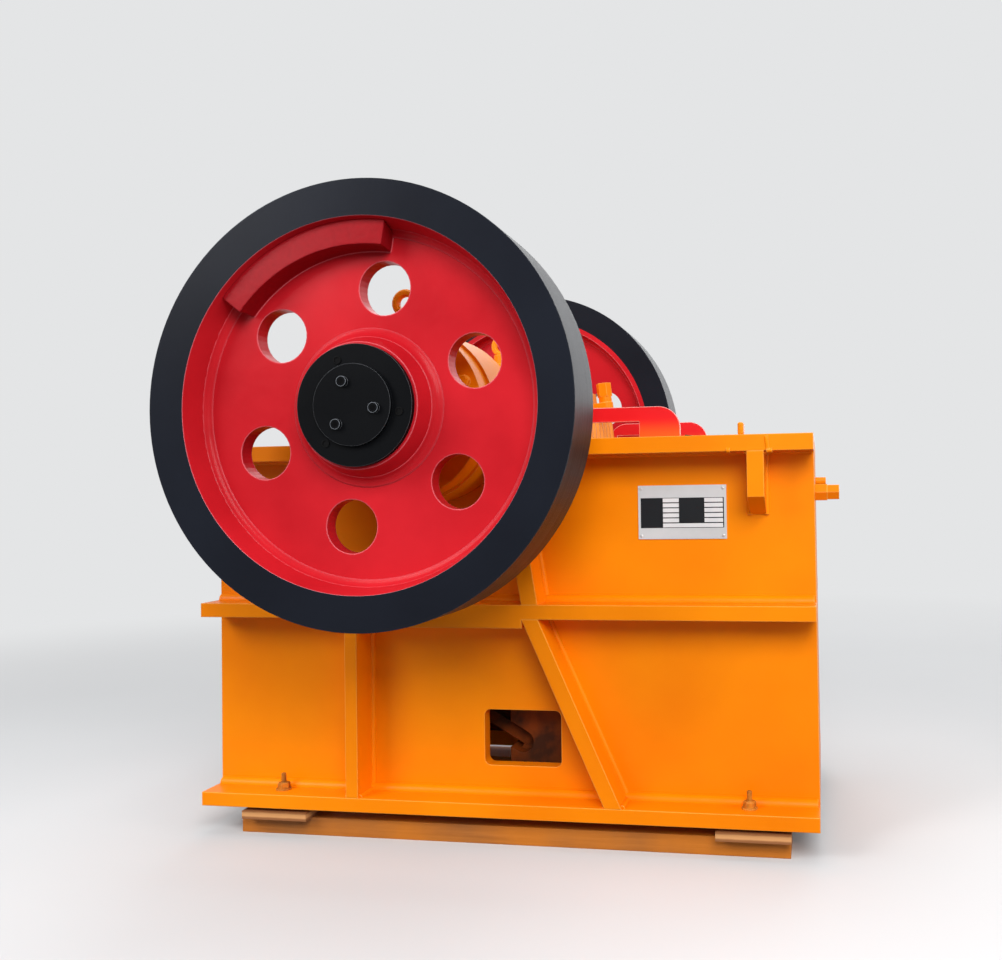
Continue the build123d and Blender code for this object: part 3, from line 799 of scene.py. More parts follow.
@dataclass(frozen=True)
class Timber:
    """Rough-sawn softwood beam, grain along X, with patches of the frame's enamel blown over it.

    The grain is drawn at 9 mm, about twice as coarse as pine's, so that it shows.
    """

    name: str = "SawnPineBeam"
    bare: str = "#8E5A2C"
    grain: str = "#58341C"
    overspray: str = "#C06C06"
    ring_mm: float = 9.0
    grain_run_mm: float = 260.0
    cloud_mm: float = 340.0
    edge_mm: float = 3.0
    fibre_depth_mm: float = 0.8
    fibre_bounds: tuple[float, float] = (0.4, 0.65)
    roughness: float = 0.62

    def make(self) -> bpy.types.Material:
        """Builds the material."""
        material, shader = new_material(self.name)
        tree = material.node_tree
        place = add_node(tree, "ShaderNodeTexCoord").outputs["Object"]
        stretched = add_node(
            tree,
            "ShaderNodeMapping",
            {
                "Vector": place,
                "Scale": (per_metre(self.grain_run_mm), per_metre(self.ring_mm), per_metre(self.ring_mm)),
            },
        )
        fibres = add_node(
            tree, "ShaderNodeTexNoise", {"Vector": stretched.outputs["Vector"], "Scale": 1.0, "Detail": 4.0}
        )
        fibre_share = add_node(
            tree,
            "ShaderNodeMapRange",
            {
                "Value": fibres.outputs["Fac"],
                "From Min": self.fibre_bounds[0],
                "From Max": self.fibre_bounds[1],
            },
        )
        wood = add_node(
            tree,
            "ShaderNodeMix",
            {0: fibre_share.outputs["Result"], 6: srgb(self.bare), 7: srgb(self.grain)},
            data_type="RGBA",
        )
        sprayed = patches(
            tree, place, self.cloud_mm, detail=5.0, bounds=(0.36, 0.56), shares=(0.35, 0.95)
        )
        colour = add_node(
            tree, "ShaderNodeMix", {0: sprayed, 6: wood.outputs[2], 7: srgb(self.overspray)}, data_type="RGBA"
        )
        rounded = add_node(tree, "ShaderNodeBevel", {"Radius": self.edge_mm / 1000}, samples=4)
        bumped = add_node(
            tree,
            "ShaderNodeBump",
            {
                "Height": fibres.outputs["Fac"],
                "Distance": self.fibre_depth_mm / 1000,
                "Normal": rounded.outputs["Normal"],
            },
        )
        surface = {
            "Base Color": colour.outputs[2],
            "Normal": bumped.outputs["Normal"],
            "Roughness": self.roughness,
        }
        feed(tree, shader, surface)
        return material


@dataclass(frozen=True)
class Plywood:
    """Poplar plywood packers: flat plies that show as light and dark stripes along every edge.

    The plies are drawn 9 mm thick, several times the real veneer, so that they show.
    """

    name: str = "PoplarPlywood"
    long_ply: str = "#C98E56"
    cross_ply: str = "#8A5428"
    ply_mm: float = 9.0
    ply_depth_mm: float = 0.4
    ply_bounds: tuple[float, float] = (-0.2, 0.9)
    figure_mm: float = 22.0
    figure_share: float = 0.6
    roughness: float = 0.7

    def make(self) -> bpy.types.Material:
        """Builds the material."""
        material, shader = new_material(self.name)
        tree = material.node_tree
        place = add_node(tree, "ShaderNodeTexCoord").outputs["Object"]
        split = add_node(tree, "ShaderNodeSeparateXYZ", {0: place})
        plies = add_node(
            tree,
            "ShaderNodeMath",
            {0: split.outputs["Z"], 1: math.pi * per_metre(self.ply_mm)},
            operation="MULTIPLY",
        )
        wave = add_node(tree, "ShaderNodeMath", {0: plies.outputs[0]}, operation="SINE")
        figure = add_node(
            tree, "ShaderNodeTexNoise", {"Vector": place, "Scale": per_metre(self.figure_mm), "Detail": 4.0}
        )
        mixed = add_node(
            tree,
            "ShaderNodeMath",
            {0: figure.outputs["Fac"], 1: self.figure_share, 2: wave.outputs[0]},
            operation="MULTIPLY_ADD",
        )
        share = add_node(
            tree,
            "ShaderNodeMapRange",
            {
                "Value": mixed.outputs[0],
                "From Min": self.ply_bounds[0],
                "From Max": self.ply_bounds[1],
            },
        )
        colour = add_node(
            tree,
            "ShaderNodeMix",
            {0: share.outputs["Result"], 6: srgb(self.long_ply), 7: srgb(self.cross_ply)},
            data_type="RGBA",
        )
        bumped = add_node(
            tree, "ShaderNodeBump", {"Height": mixed.outputs[0], "Distance": self.ply_depth_mm / 1000}
        )
        surface = {
            "Base Color": colour.outputs[2],
            "Normal": bumped.outputs["Normal"],
            "Roughness": self.roughness,
        }
        feed(tree, shader, surface)
        return material


# Enamel sprayed on rolled plate: an even satin film, faintly wavy from the plate, with a pale painted highlight
# on edges, partly thin paint.
ORANGE_ENAMEL = Enamel(
    name="OrangeMachineEnamel",
    colour="#F68A03",
    deep="#E97801",
    edge="#FFC766",
    roughness=0.36,
    coat=0.02,
    cloud_mm=420.0,
    lump_mm=90.0,
    lump_depth_mm=0.7,
    peel_mm=5.0,
    peel_depth_mm=0.05,
    edge_mm=3.0,
    edge_highlight_share=0.5,
    gloss=0.1,
)
# The same paint on a sand casting: the lumps of the casting show through it as broad uneven glints; its pink
# edges are a painted highlight, partly thin paint.
RED_ENAMEL = Enamel(
    name="RedCastIronEnamel",
    colour="#BF1E27",
    deep="#A8141D",
    edge="#F08C96",
    roughness=0.3,
    coat=0.04,
    cloud_mm=260.0,
    lump_mm=38.0,
    lump_depth_mm=0.9,
    peel_mm=6.0,
    peel_depth_mm=0.06,
    edge_mm=4.0,
    edge_highlight_share=0.6,
    gloss=0.06,
)
# Enamel on thin pressed sheet: flatter and shinier than on plate, with a pale painted highlight along each
# edge.
GUARD_ENAMEL = Enamel(
    name="RedSheetEnamel",
    colour="#DE2428",
    deep="#D01A20",
    edge="#FFC6BE",
    roughness=0.3,
    coat=0.04,
    cloud_mm=260.0,
    lump_mm=80.0,
    lump_depth_mm=0.2,
    peel_mm=5.0,
    peel_depth_mm=0.04,
    edge_mm=3.0,
    edge_highlight_share=0.95,
    gloss=0.1,
)
# Satin enamel on a turned rim face: a smooth blue-black that takes only a soft sheen; its grey edges are a
# painted highlight, partly wear.
BLACK_ENAMEL = Enamel(
    name="BlackSatinEnamel",
    colour="#171A22",
    deep="#12141B",
    edge="#6C737C",
    roughness=0.34,
    coat=0.0,
    cloud_mm=300.0,
    lump_mm=60.0,
    lump_depth_mm=0.15,
    peel_mm=5.0,
    peel_depth_mm=0.03,
    edge_mm=2.0,
    edge_highlight_share=0.7,
    gloss=0.06,
)
# Thin enamel on turned steel discs: a deeper, duller black whose corners carry a grey painted highlight, partly
# rubbed wear.
HUB_ENAMEL = Enamel(
    name="BlackHubEnamel",
    colour="#0A0B0D",
    deep="#060709",
    edge="#8E9195",
    roughness=0.4,
    coat=0.0,
    cloud_mm=120.0,
    lump_mm=30.0,
    lump_depth_mm=0.15,
    peel_mm=4.0,
    peel_depth_mm=0.04,
    edge_mm=1.2,
    edge_highlight_share=0.45,
    gloss=0.04,
)
# Near-black painted shade standing for the hollow round a sunk screw: it gives back almost no light.
SCREW_PAINTED_SHADE = Enamel(
    name="BlackScrewPaintedShade",
    colour="#030304",
    deep="#020202",
    edge="#0C0D0E",
    roughness=0.75,
    coat=0.0,
    cloud_mm=20.0,
    lump_mm=6.0,
    lump_depth_mm=0.1,
    peel_mm=2.0,
    peel_depth_mm=0.03,
    edge_mm=0.6,
    edge_highlight_share=0.3,
    gloss=0.1,
)
# Steel nuts caught by the spray: patchy dull orange over brown steel, with a pale painted highlight on edges,
# partly wear.
BOLT_ENAMEL = Enamel(
    name="OversprayedBoltSteel",
    colour="#C9791F",
    deep="#7E4A1C",
    edge="#F0B060",
    roughness=0.45,
    coat=0.0,
    cloud_mm=14.0,
    lump_mm=6.0,
    lump_depth_mm=0.3,
    peel_mm=2.5,
    peel_depth_mm=0.05,
    edge_mm=0.8,
    edge_highlight_share=0.6,
)
# Ink screened on sheet aluminium: a dense matt black field.
PANEL_INK = Enamel(
    name="BlackPanelInk",
    colour="#101216",
    deep="#0C0E11",
    edge="#3A3E45",
    roughness=0.5,
    coat=0.0,
    cloud_mm=60.0,
    lump_mm=20.0,
    lump_depth_mm=0.05,
    peel_mm=3.0,
    peel_depth_mm=0.02,
    edge_mm=0.3,
    edge_highlight_share=0.3,
)
# Manganese steel as cast: dark grey with brown stains and a sandy skin, drawn coarse, at 5 mm, to show.
CAST_MANGANESE = Metal(
    name="CastManganeseSteel",
    colour="#5A5450",
    stain="#3A2E27",
    metallic=0.65,
    roughness=0.55,
    grain_mm=(5.0, 5.0, 5.0),
    grain_depth_mm=0.9,
    stain_mm=70.0,
)
# Steel fresh from the lathe: bright, with fine rings about the shaft, drawn at 1.6 mm to show.
TURNED_STEEL = Metal(
    name="TurnedShaftSteel",
    colour="#B4B7BA",
    stain="#84807A",
    metallic=1.0,
    roughness=0.3,
    grain_mm=(40.0, 1.6, 40.0),
    grain_depth_mm=0.06,
    stain_mm=90.0,
)
# Oil-blackened spring steel: nearly black, with a greasy broken sheen, drawn at 3 mm to show.
SPRING_STEEL = Metal(
    name="OiledSpringSteel",
    colour="#1A1715",
    stain="#0D0A08",
    metallic=0.3,
    roughness=0.6,
    grain_mm=(3.0, 3.0, 3.0),
    grain_depth_mm=0.15,
    stain_mm=30.0,
)
# Brushed sheet aluminium: pale grey, with lines along X, drawn at 1.2 mm to show.
BRUSHED_ALUMINIUM = Metal(
    name="BrushedAluminiumSheet",
    colour="#CFD0D0",
    stain="#B9BABA",
    metallic=0.25,
    roughness=0.38,
    grain_mm=(60.0, 1.2, 1.2),
    grain_depth_mm=0.04,
    stain_mm=120.0,
    edge_mm=0.6,
)
# The same casting where the frame's spray has drifted over its upper end: orange fading down to bare steel.
SPRAYED_MANGANESE = replace(
    CAST_MANGANESE, name="OversprayedManganeseSteel", grain_depth_mm=0.25, overspray_above=0.74
)
# The same orange inside the frame, where patchy brown painted shade darkens it lower down and it grows matt.
LOW_SHADE_ENAMEL = LowShadeEnamel(
    name="OrangeEnamelLowShade",
    plain_film=ORANGE_ENAMEL,
    shade_tone="#7A3404",
    deep_shade_tone="#3A1803",
    shade_begins=0.84,
    shade_full=0.62,
)
# White ink of the same film: flat pale fields that stand out on the black.
PRINTED_CELL = replace(PANEL_INK, name="WhitePlateCell", colour="#E3E4E4", deep="#D6D8D9", edge="#F2F2F2")
# Moulded rubber: matt charcoal with a fine grain, drawn at 3 mm to show.
PAD_RUBBER = Metal(
    name="MouldedPadRubber",
    colour="#1C1A18",
    stain="#2B2723",
    metallic=0.0,
    roughness=0.85,
    grain_mm=(3.0, 3.0, 3.0),
    grain_depth_mm=0.3,
    stain_mm=40.0,
)


@dataclass
class PaintShop:
    """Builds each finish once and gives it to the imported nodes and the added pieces."""

    axis: Vector
    rim_bore: float = 0.3595
    tread_edge: float = 0.001
    groove_share: float = 0.3
    groove_half: float = 0.0016
    weight_from: float = 0.302
    weight_depth: float = 0.057
    # Orange of the painted reflection at the guards' foot.
    mist: str = "#F28A1C"
    reflection_height: float = 0.048
    cap_screw_circle: float = 0.047
    cap_socket: float = 0.0052
    skin: float = 0.0002

    def __post_init__(self) -> None:
        """Builds the materials; those of the wheels are laid out about the shaft's axis."""
        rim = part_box("flywheel_rim_far")
        flange_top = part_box("top_flange_far")[1].z
        self.orange = ORANGE_ENAMEL.make()
        self.red = RED_ENAMEL.make()
        self.guard = FootReflectionEnamel(
            name="RedSheetFootReflection",
            film=GUARD_ENAMEL,
            mist=self.mist,
            foot=flange_top,
            clear=flange_top + self.reflection_height,
        ).make()
        self.wheel = WheelEnamel(
            name="RedWheelCasting",
            film=RED_ENAMEL,
            axis=self.axis,
            weight_from=self.weight_from,
            web_y=rim[1].y - self.weight_depth,
        ).make()
        self.screw_shade = SCREW_PAINTED_SHADE.make()
        self.black = HUB_ENAMEL.make()
        self.rim = RimEnamel(
            name="BlackRimRedBore",
            outside=BLACK_ENAMEL,
            inside=RED_ENAMEL,
            axis=self.axis,
            bore=self.rim_bore + self.skin / 2,
            tread=(rim[1].z - rim[0].z) / 2 - self.tread_edge,
            groove_y=rim[0].y + self.groove_share * (rim[1].y - rim[0].y),
            groove_half=self.groove_half,
        ).make()
        self.cap = SocketEnamel(
            name="BlackCapEnamel",
            film=HUB_ENAMEL,
            axis=self.axis,
            circle=self.cap_screw_circle,
            degrees=SCREW_DEGREES,
            face_y=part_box("end_caps")[1].y - self.skin,
            socket=self.cap_socket,
        ).make()
        self.low_shaded = LOW_SHADE_ENAMEL.make()
        self.sprayed = SPRAYED_MANGANESE.make()
        self.cell = PRINTED_CELL.make()
        self.bolt = BOLT_ENAMEL.make()
        self.ink = PANEL_INK.make()
        self.manganese = CAST_MANGANESE.make()
        self.turned = TURNED_STEEL.make()
        self.spring = SPRING_STEEL.make()
        self.aluminium = BRUSHED_ALUMINIUM.make()
        self.beam = Timber().make()
        self.plank = Plywood().make()
        self.pad = PAD_RUBBER.make()

    def by_slot(self) -> dict[str, bpy.types.Material]:
        """The finish that each of the record's slots gets."""
        return {
            Slot.ORANGE.value: self.orange,
            Slot.RED.value: self.red,
            Slot.BLACK.value: self.black,
            Slot.MANGANESE.value: self.manganese,
            Slot.TURNED.value: self.turned,
            Slot.SPRING.value: self.spring,
            Slot.ALUMINIUM.value: self.aluminium,
            Slot.BEAM.value: self.beam,
            Slot.PLANK.value: self.plank,
            Slot.PAD.value: self.pad,
        }

    def dress(self, nodes: list[str], material: bpy.types.Material) -> None:
        """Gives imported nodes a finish.

        Args:
            nodes: the nodes' names.
            material: what they get.
        """
        for name in nodes:
            piece = frame["nodes"][name]
            if not piece.material_slots:
                piece.data.materials.append(material)
            for place in piece.material_slots:
                place.material = material

    def dress_all(self) -> None:
        """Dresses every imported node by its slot, then those whose finish differs."""
        finishes = self.by_slot()
        for part in frame["record"]["subparts"]:
            self.dress([part["node"]], finishes[part["material_slot"]])
        self.dress(["flywheel_rim_near", "flywheel_rim_far"], self.rim)
        self.dress(["guard_plates"], self.guard)
        self.dress(["flywheel_near", "flywheel_far"], self.wheel)
        self.dress(["end_caps"], self.cap)
        self.dress(
            ["swing_jaw", "toggle_plate", "adjusting_block", "toggle_seats", "tension_rod"], self.low_shaded
        )
        self.dress(["swing_jaw_plate"], self.sprayed)


def settle(
    name: str, mesh: bpy.types.Mesh, material: bpy.types.Material, body: Body
) -> bpy.types.Object:
    """Turns a mesh into a finished piece that rides on a body.

    Args:
        name: the piece's name.
        mesh: its mesh, in place.
        material: its finish.
        body: what it rides on.

    Returns:
        The piece.
    """
    mesh.materials.clear()
    mesh.materials.append(material)
    piece = bpy.data.objects.new(name, mesh)
    bpy.context.scene.collection.objects.link(piece)
    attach(piece, body.value)
    log.info("%s: %d faces", name, len(mesh.polygons))
    return piece


def mesh_from(bm: bmesh.types.BMesh, name: str, smooth: bool) -> bpy.types.Mesh:
    """Finishes a bmesh with faces that point outwards.

    Args:
        bm: the bmesh, which is freed.
        name: the mesh's name.
        smooth: whether faces are shaded smooth.

    Returns:
        The mesh.
    """
    bmesh.ops.remove_doubles(bm, verts=bm.verts, dist=1e-6)
    bmesh.ops.recalc_face_normals(bm, faces=bm.faces)
    for face in bm.faces:
        face.smooth = smooth
    mesh = bpy.data.meshes.new(name)
    bm.to_mesh(mesh)
    bm.free()
    return mesh


def add_turned(
    bm: bmesh.types.BMesh, profile: list[tuple[float, float]], sides: int, spin: float = 0.0
) -> None:
    """Adds a closed turned solid about +Z.

    Args:
        bm: the bmesh that gets it.
        profile: (radius, height) corners from the lower middle to the upper middle; radii above 0.
        sides: how many sides it has.
        spin: the angle of its first corner.
    """
    rings = []
    for radius, height in profile:
        ring = []
        for i in range(sides):
            angle = spin + 2 * math.pi * i / sides
            ring.append(bm.verts.new((radius * math.cos(angle), radius * math.sin(angle), height)))
        rings.append(ring)
    bm.faces.new(reversed(rings[0]))
    for low, high in zip(rings, rings[1:]):
        for i in range(sides):
            j = (i + 1) % sides
            bm.faces.new((low[i], low[j], high[j], high[i]))
    bm.faces.new(rings[-1])


def add_block(bm: bmesh.types.BMesh, low: Vector, high: Vector, chamfer: float) -> None:
    """Adds a block whose edges are all chamfered.

    Args:
        bm: the bmesh that gets it.
        low: its lowest corner.
        high: its highest corner.
        chamfer: the chamfer's reach.
    """
    made = bmesh.ops.create_cube(bm, size=1.0)["verts"]
    for vert in made:
        vert.co = Vector((low[k] if vert.co[k] < 0 else high[k]) for k in range(3))
    edges = list({edge for vert in made for edge in vert.link_edges})
    bmesh.ops.bevel(bm, geom=edges, offset=chamfer, segments=2, affect="EDGES", profile=0.5)


@dataclass
class FastenerSet:
    """Bolts, nuts, screws or rivets of one kind, set on points by a Geometry Nodes tree."""

    name: str
    pattern: bpy.types.Mesh
    seats: list[tuple[Point, Point]]
    material: bpy.types.Material
    body: Body
    slot: Slot
    seed: int = 3
    turn: float = math.pi

    def tree(self) -> bpy.types.NodeTree:
        """Builds the tree that sets the pattern on each seat, facing outwards and turned at random.

        Returns:
            The node group.
        """
        group = bpy.data.node_groups.new(self.name + "_seats", "GeometryNodeTree")
        group.interface.new_socket("Seats", in_out="INPUT", socket_type="NodeSocketGeometry")
        group.interface.new_socket("Fastener", in_out="INPUT", socket_type="NodeSocketObject")
        group.interface.new_socket("Largest Turn", in_out="INPUT", socket_type="NodeSocketFloat")
        group.interface.new_socket("Seed", in_out="INPUT", socket_type="NodeSocketInt")
        group.interface.new_socket("Finish", in_out="INPUT", socket_type="NodeSocketMaterial")
        group.interface.new_socket("Fasteners", in_out="OUTPUT", socket_type="NodeSocketGeometry")
        given = add_node(group, "NodeGroupInput")
        facing = add_node(
            group, "GeometryNodeInputNamedAttribute", {"Name": "facing"}, data_type="FLOAT_VECTOR"
        )
        aligned = add_node(
            group, "FunctionNodeAlignRotationToVector", {"Vector": facing.outputs["Attribute"]}, axis="Z"
        )
        turn = add_node(
            group,
            "FunctionNodeRandomValue",
            {"Max": given.outputs["Largest Turn"], "Seed": given.outputs["Seed"]},
        )
        about = add_node(
            group,
            "FunctionNodeAxisAngleToRotation",
            {"Axis": (0.0, 0.0, 1.0), "Angle": turn.outputs["Value"]},
        )
        rotated = add_node(
            group,
            "FunctionNodeRotateRotation",
            {"Rotation": aligned.outputs["Rotation"], "Rotate By": about.outputs["Rotation"]},
            rotation_space="LOCAL",
        )
        fastener = add_node(group, "GeometryNodeObjectInfo", {"Object": given.outputs["Fastener"]})
        points = add_node(group, "GeometryNodeMeshToPoints", {"Mesh": given.outputs["Seats"]})
        placed = add_node(
            group,
            "GeometryNodeInstanceOnPoints",
            {
                "Points": points.outputs["Points"],
                "Instance": fastener.outputs["Geometry"],
                "Rotation": rotated.outputs["Rotation"],
            },
        )
        real = add_node(group, "GeometryNodeRealizeInstances", {"Geometry": placed.outputs["Instances"]})
        finished = add_node(
            group,
            "GeometryNodeSetMaterial",
            {"Geometry": real.outputs["Geometry"], "Material": given.outputs["Finish"]},
        )
        add_node(group, "NodeGroupOutput", {"Fasteners": finished.outputs["Geometry"]})
        return group

    def build(self) -> bpy.types.Object:
        """Places the fasteners and makes them one plain mesh.

        Returns:
            The finished piece.
        """
        carrier = bpy.data.meshes.new(self.name + "_seats")
        carrier.from_pydata([seat for seat, _ in self.seats], [], [])
        facing = carrier.attributes.new("facing", "FLOAT_VECTOR", "POINT")
        facing.data.foreach_set("vector", [v for _, way in self.seats for v in way])
        sample = bpy.data.objects.new(self.name + "_pattern", self.pattern)
        bpy.context.scene.collection.objects.link(sample)
        values = {
            "Fastener": sample,
            "Largest Turn": self.turn,
            "Seed": self.seed,
            "Finish": self.material,
        }
        mesh = grown_mesh(self.name, carrier, self.tree(), values)
        bpy.data.objects.remove(sample)
        return settle(self.name, mesh, self.material, self.body)


def grown_mesh(
    name: str, carrier: bpy.types.Mesh, group: bpy.types.NodeTree, values: dict[str, object]
) -> bpy.types.Mesh:
    """Runs a Geometry Nodes tree on a mesh and returns the result as a plain mesh.

    Args:
        name: the result's name.
        carrier: the mesh that the tree starts from.
        group: the tree.
        values: input name to value.

    Returns:
        The grown mesh.
    """
    host = bpy.data.objects.new(name + "_host", carrier)
    bpy.context.scene.collection.objects.link(host)
    modifier = host.modifiers.new("Grow", "NODES")
    modifier.node_group = group
    for item in group.interface.items_tree:
        if item.item_type == "SOCKET" and item.in_out == "INPUT" and item.name in values:
            modifier[item.identifier] = values[item.name]
    bpy.context.view_layer.update()
    evaluated = host.evaluated_get(bpy.context.evaluated_depsgraph_get())
    mesh = bpy.data.meshes.new_from_object(evaluated)
    mesh.name = name
    bpy.data.objects.remove(host)
    bpy.data.node_groups.remove(group)
    return mesh


@dataclass
class WeldRun:
    """Fillet welds of one leg, laid along straight corners by a Geometry Nodes tree."""

    name: str
    lines: list[tuple[Point, Point]]
    leg: float
    material: bpy.types.Material
    ripple: float = 0.0011
    pitch: float = 0.016
    seed: int = 5

    def tree(self) -> bpy.types.NodeTree:
        """Builds the tree that draws a rippled bead along each line.

        Returns:
            The node group.
        """
        group = bpy.data.node_groups.new(self.name + "_beads", "GeometryNodeTree")
        group.interface.new_socket("Corners", in_out="INPUT", socket_type="NodeSocketGeometry")
        group.interface.new_socket("Leg", in_out="INPUT", socket_type="NodeSocketFloat")
        group.interface.new_socket("Ripple", in_out="INPUT", socket_type="NodeSocketFloat")
        group.interface.new_socket("Pitch", in_out="INPUT", socket_type="NodeSocketFloat")
        group.interface.new_socket("Seed", in_out="INPUT", socket_type="NodeSocketFloat")
        group.interface.new_socket("Finish", in_out="INPUT", socket_type="NodeSocketMaterial")
        group.interface.new_socket("Beads", in_out="OUTPUT", socket_type="NodeSocketGeometry")
        given = add_node(group, "NodeGroupInput")
        curve = add_node(group, "GeometryNodeMeshToCurve", {"Mesh": given.outputs["Corners"]})
        step = add_node(group, "ShaderNodeMath", {0: given.outputs["Pitch"], 1: 0.5}, operation="MULTIPLY")
        even = add_node(
            group,
            "GeometryNodeResampleCurve",
            {"Curve": curve.outputs["Curve"], "Length": step.outputs[0]},
            mode="LENGTH",
        )
        place = add_node(group, "GeometryNodeInputPosition")
        frequency = add_node(group, "ShaderNodeMath", {0: 1.0, 1: given.outputs["Pitch"]}, operation="DIVIDE")
        noise = add_node(
            group,
            "ShaderNodeTexNoise",
            {
                "Vector": place.outputs["Position"],
                "W": given.outputs["Seed"],
                "Scale": frequency.outputs[0],
                "Detail": 1.0,
            },
            noise_dimensions="4D",
        )
        swell = add_node(
            group,
            "ShaderNodeMath",
            {0: noise.outputs["Fac"], 1: given.outputs["Ripple"], 2: given.outputs["Leg"]},
            operation="MULTIPLY_ADD",
        )
        section = add_node(group, "GeometryNodeCurvePrimitiveCircle", {"Resolution": 10, "Radius": 1.0})
        bead = add_node(
            group,
            "GeometryNodeCurveToMesh",
            {
                "Curve": even.outputs["Curve"],
                "Profile Curve": section.outputs["Curve"],
                "Scale": swell.outputs[0],
                "Fill Caps": True,
            },
        )
        smooth = add_node(group, "GeometryNodeSetShadeSmooth", {"Geometry": bead.outputs["Mesh"]})
        real = add_node(group, "GeometryNodeRealizeInstances", {"Geometry": smooth.outputs["Geometry"]})
        finished = add_node(
            group,
            "GeometryNodeSetMaterial",
            {"Geometry": real.outputs["Geometry"], "Material": given.outputs["Finish"]},
        )
        add_node(group, "NodeGroupOutput", {"Beads": finished.outputs["Geometry"]})
        return group

    def build(self) -> bpy.types.Object:
        """Lays the beads and makes them one plain mesh.

        Returns:
            The finished piece.
        """
        carrier = bpy.data.meshes.new(self.name + "_corners")
        verts = [p for line in self.lines for p in line]
        carrier.from_pydata(verts, [(2 * i, 2 * i + 1) for i in range(len(self.lines))], [])
        values = {
            "Leg": self.leg,
            "Ripple": self.ripple,
            "Pitch": self.pitch,
            "Seed": float(self.seed),
            "Finish": self.material,
        }
        mesh = grown_mesh(self.name, carrier, self.tree(), values)
        return settle(self.name, mesh, self.material, Body.FRAME)


def seats_on_circle(
    shaft: Vector, radius: float, face_y: float, degrees: Sequence[float]
) -> list[tuple[Point, Point]]:
    """Seats about the shaft on both sides of the machine, facing outwards.

    Args:
        shaft: a point on the shaft's axis.
        radius: the circle's radius.
        face_y: how far out the seats are.
        degrees: the angles from +X towards +Z.

    Returns:
        Each seat's place and direction, the near side first.
    """
    seats = []
    for side in Side:
        for degree in degrees:
            angle = math.radians(degree)
            x = shaft.x + radius * math.cos(angle)
            z = shaft.z + radius * math.sin(angle)
            seats.append(((x, side.value * face_y, z), (0.0, float(side.value), 0.0)))
    return seats


def hex_nut_on_stud(
    across: float, nut: float, washer: float, washer_high: float, stud: float, top: float
) -> bpy.types.Mesh:
    """A washer, a hexagon nut and the end of its stud, on +Z.

    Args:
        across: the nut's size across flats.
        nut: the nut's height.
        washer: the washer's radius.
        washer_high: the washer's thickness.
        stud: the stud's radius.
        top: how high the stud ends.

    Returns:
        The pattern's mesh.
    """
    bm = bmesh.new()
    corner = across / math.sqrt(3)
    rim = [(washer, -HEAD_BURY), (washer, washer_high * 0.8), (washer * 0.96, washer_high)]
    add_turned(bm, rim, WASHER_SIDES)
    base, cap = washer_high * 0.98, washer_high + nut
    foot = [(corner * 0.95, base), (corner, base + nut * 0.1)]
    crown = [(corner, cap - nut * 0.12), (corner * 0.9, cap)]
    add_turned(bm, foot + crown, HEX_SIDES)
    add_turned(bm, [(stud, cap - STUD_BURY), (stud, top - stud * 0.3), (stud * 0.72, top)], sides=16)
    return mesh_from(bm, "nut_on_stud", False)


def hex_bolt_head(across: float, head: float, washer: float, washer_high: float) -> bpy.types.Mesh:
    """A washer and a hexagon bolt head on +Z.

    Args:
        across: the head's size across flats.
        head: the head's height.
        washer: the washer's radius.
        washer_high: the washer's thickness.

    Returns:
        The pattern's mesh.
    """
    bm = bmesh.new()
    corner = across / math.sqrt(3)
    rim = [(washer, -HEAD_BURY), (washer, washer_high * 0.8), (washer * 0.97, washer_high)]
    add_turned(bm, rim, WASHER_SIDES)
    base, cap = washer_high * 0.98, washer_high + head
    add_turned(bm, [(corner, base), (corner, cap - head * 0.16), (corner * 0.88, cap)], HEX_SIDES)
    return mesh_from(bm, "bolt_head", False)


def socket_screw_head(radius: float, high: float, socket: float, deep: float) -> bpy.types.Mesh:
    """A socket screw's round head on +Z, open at its hexagon socket.

    Args:
        radius: the head's radius.
        high: the head's height.
        socket: the socket's corner radius.
        deep: the socket's depth.

    Returns:
        The pattern's mesh.
    """
    bm = bmesh.new()
    sides = 24
    rings = []
    for ring_radius, height in ((radius, -HEAD_BURY), (radius, high * 0.86), (radius * 0.9, high)):
        rings.append(
            [
                bm.verts.new(
                    (
                        ring_radius * math.cos(2 * math.pi * i / sides),
                        ring_radius * math.sin(2 * math.pi * i / sides),
                        height,
                    )
                )
                for i in range(sides)
            ]
        )
    for height in (high, high - deep):
        ring = []
        for i in range(sides):
            angle = 2 * math.pi * i / sides
            in_side = (angle % (math.pi / 3)) - math.pi / 6
            reach = socket * math.cos(math.pi / 6) / math.cos(in_side)
            ring.append(bm.verts.new((reach * math.cos(angle), reach * math.sin(angle), height)))
        rings.append(ring)
    bm.faces.new(reversed(rings[0]))
    for low, high_ring in zip(rings, rings[1:]):
        for i in range(sides):
            j = (i + 1) % sides
            bm.faces.new((low[i], low[j], high_ring[j], high_ring[i]))
    bm.faces.new(rings[-1])
    return mesh_from(bm, "socket_head", False)


def rivet_head(radius: float, high: float) -> bpy.types.Mesh:
    """A domed rivet head on +Z.

    Args:
        radius: the head's radius.
        high: the head's height.

    Returns:
        The pattern's mesh.
    """
    bm = bmesh.new()
    profile = [
        (radius, -RIVET_BURY),
        (radius * 0.92, high * 0.45),
        (radius * 0.66, high * 0.82),
        (radius * 0.25, high),
    ]
    add_turned(bm, profile, sides=18)
    return mesh_from(bm, "rivet_head", True)


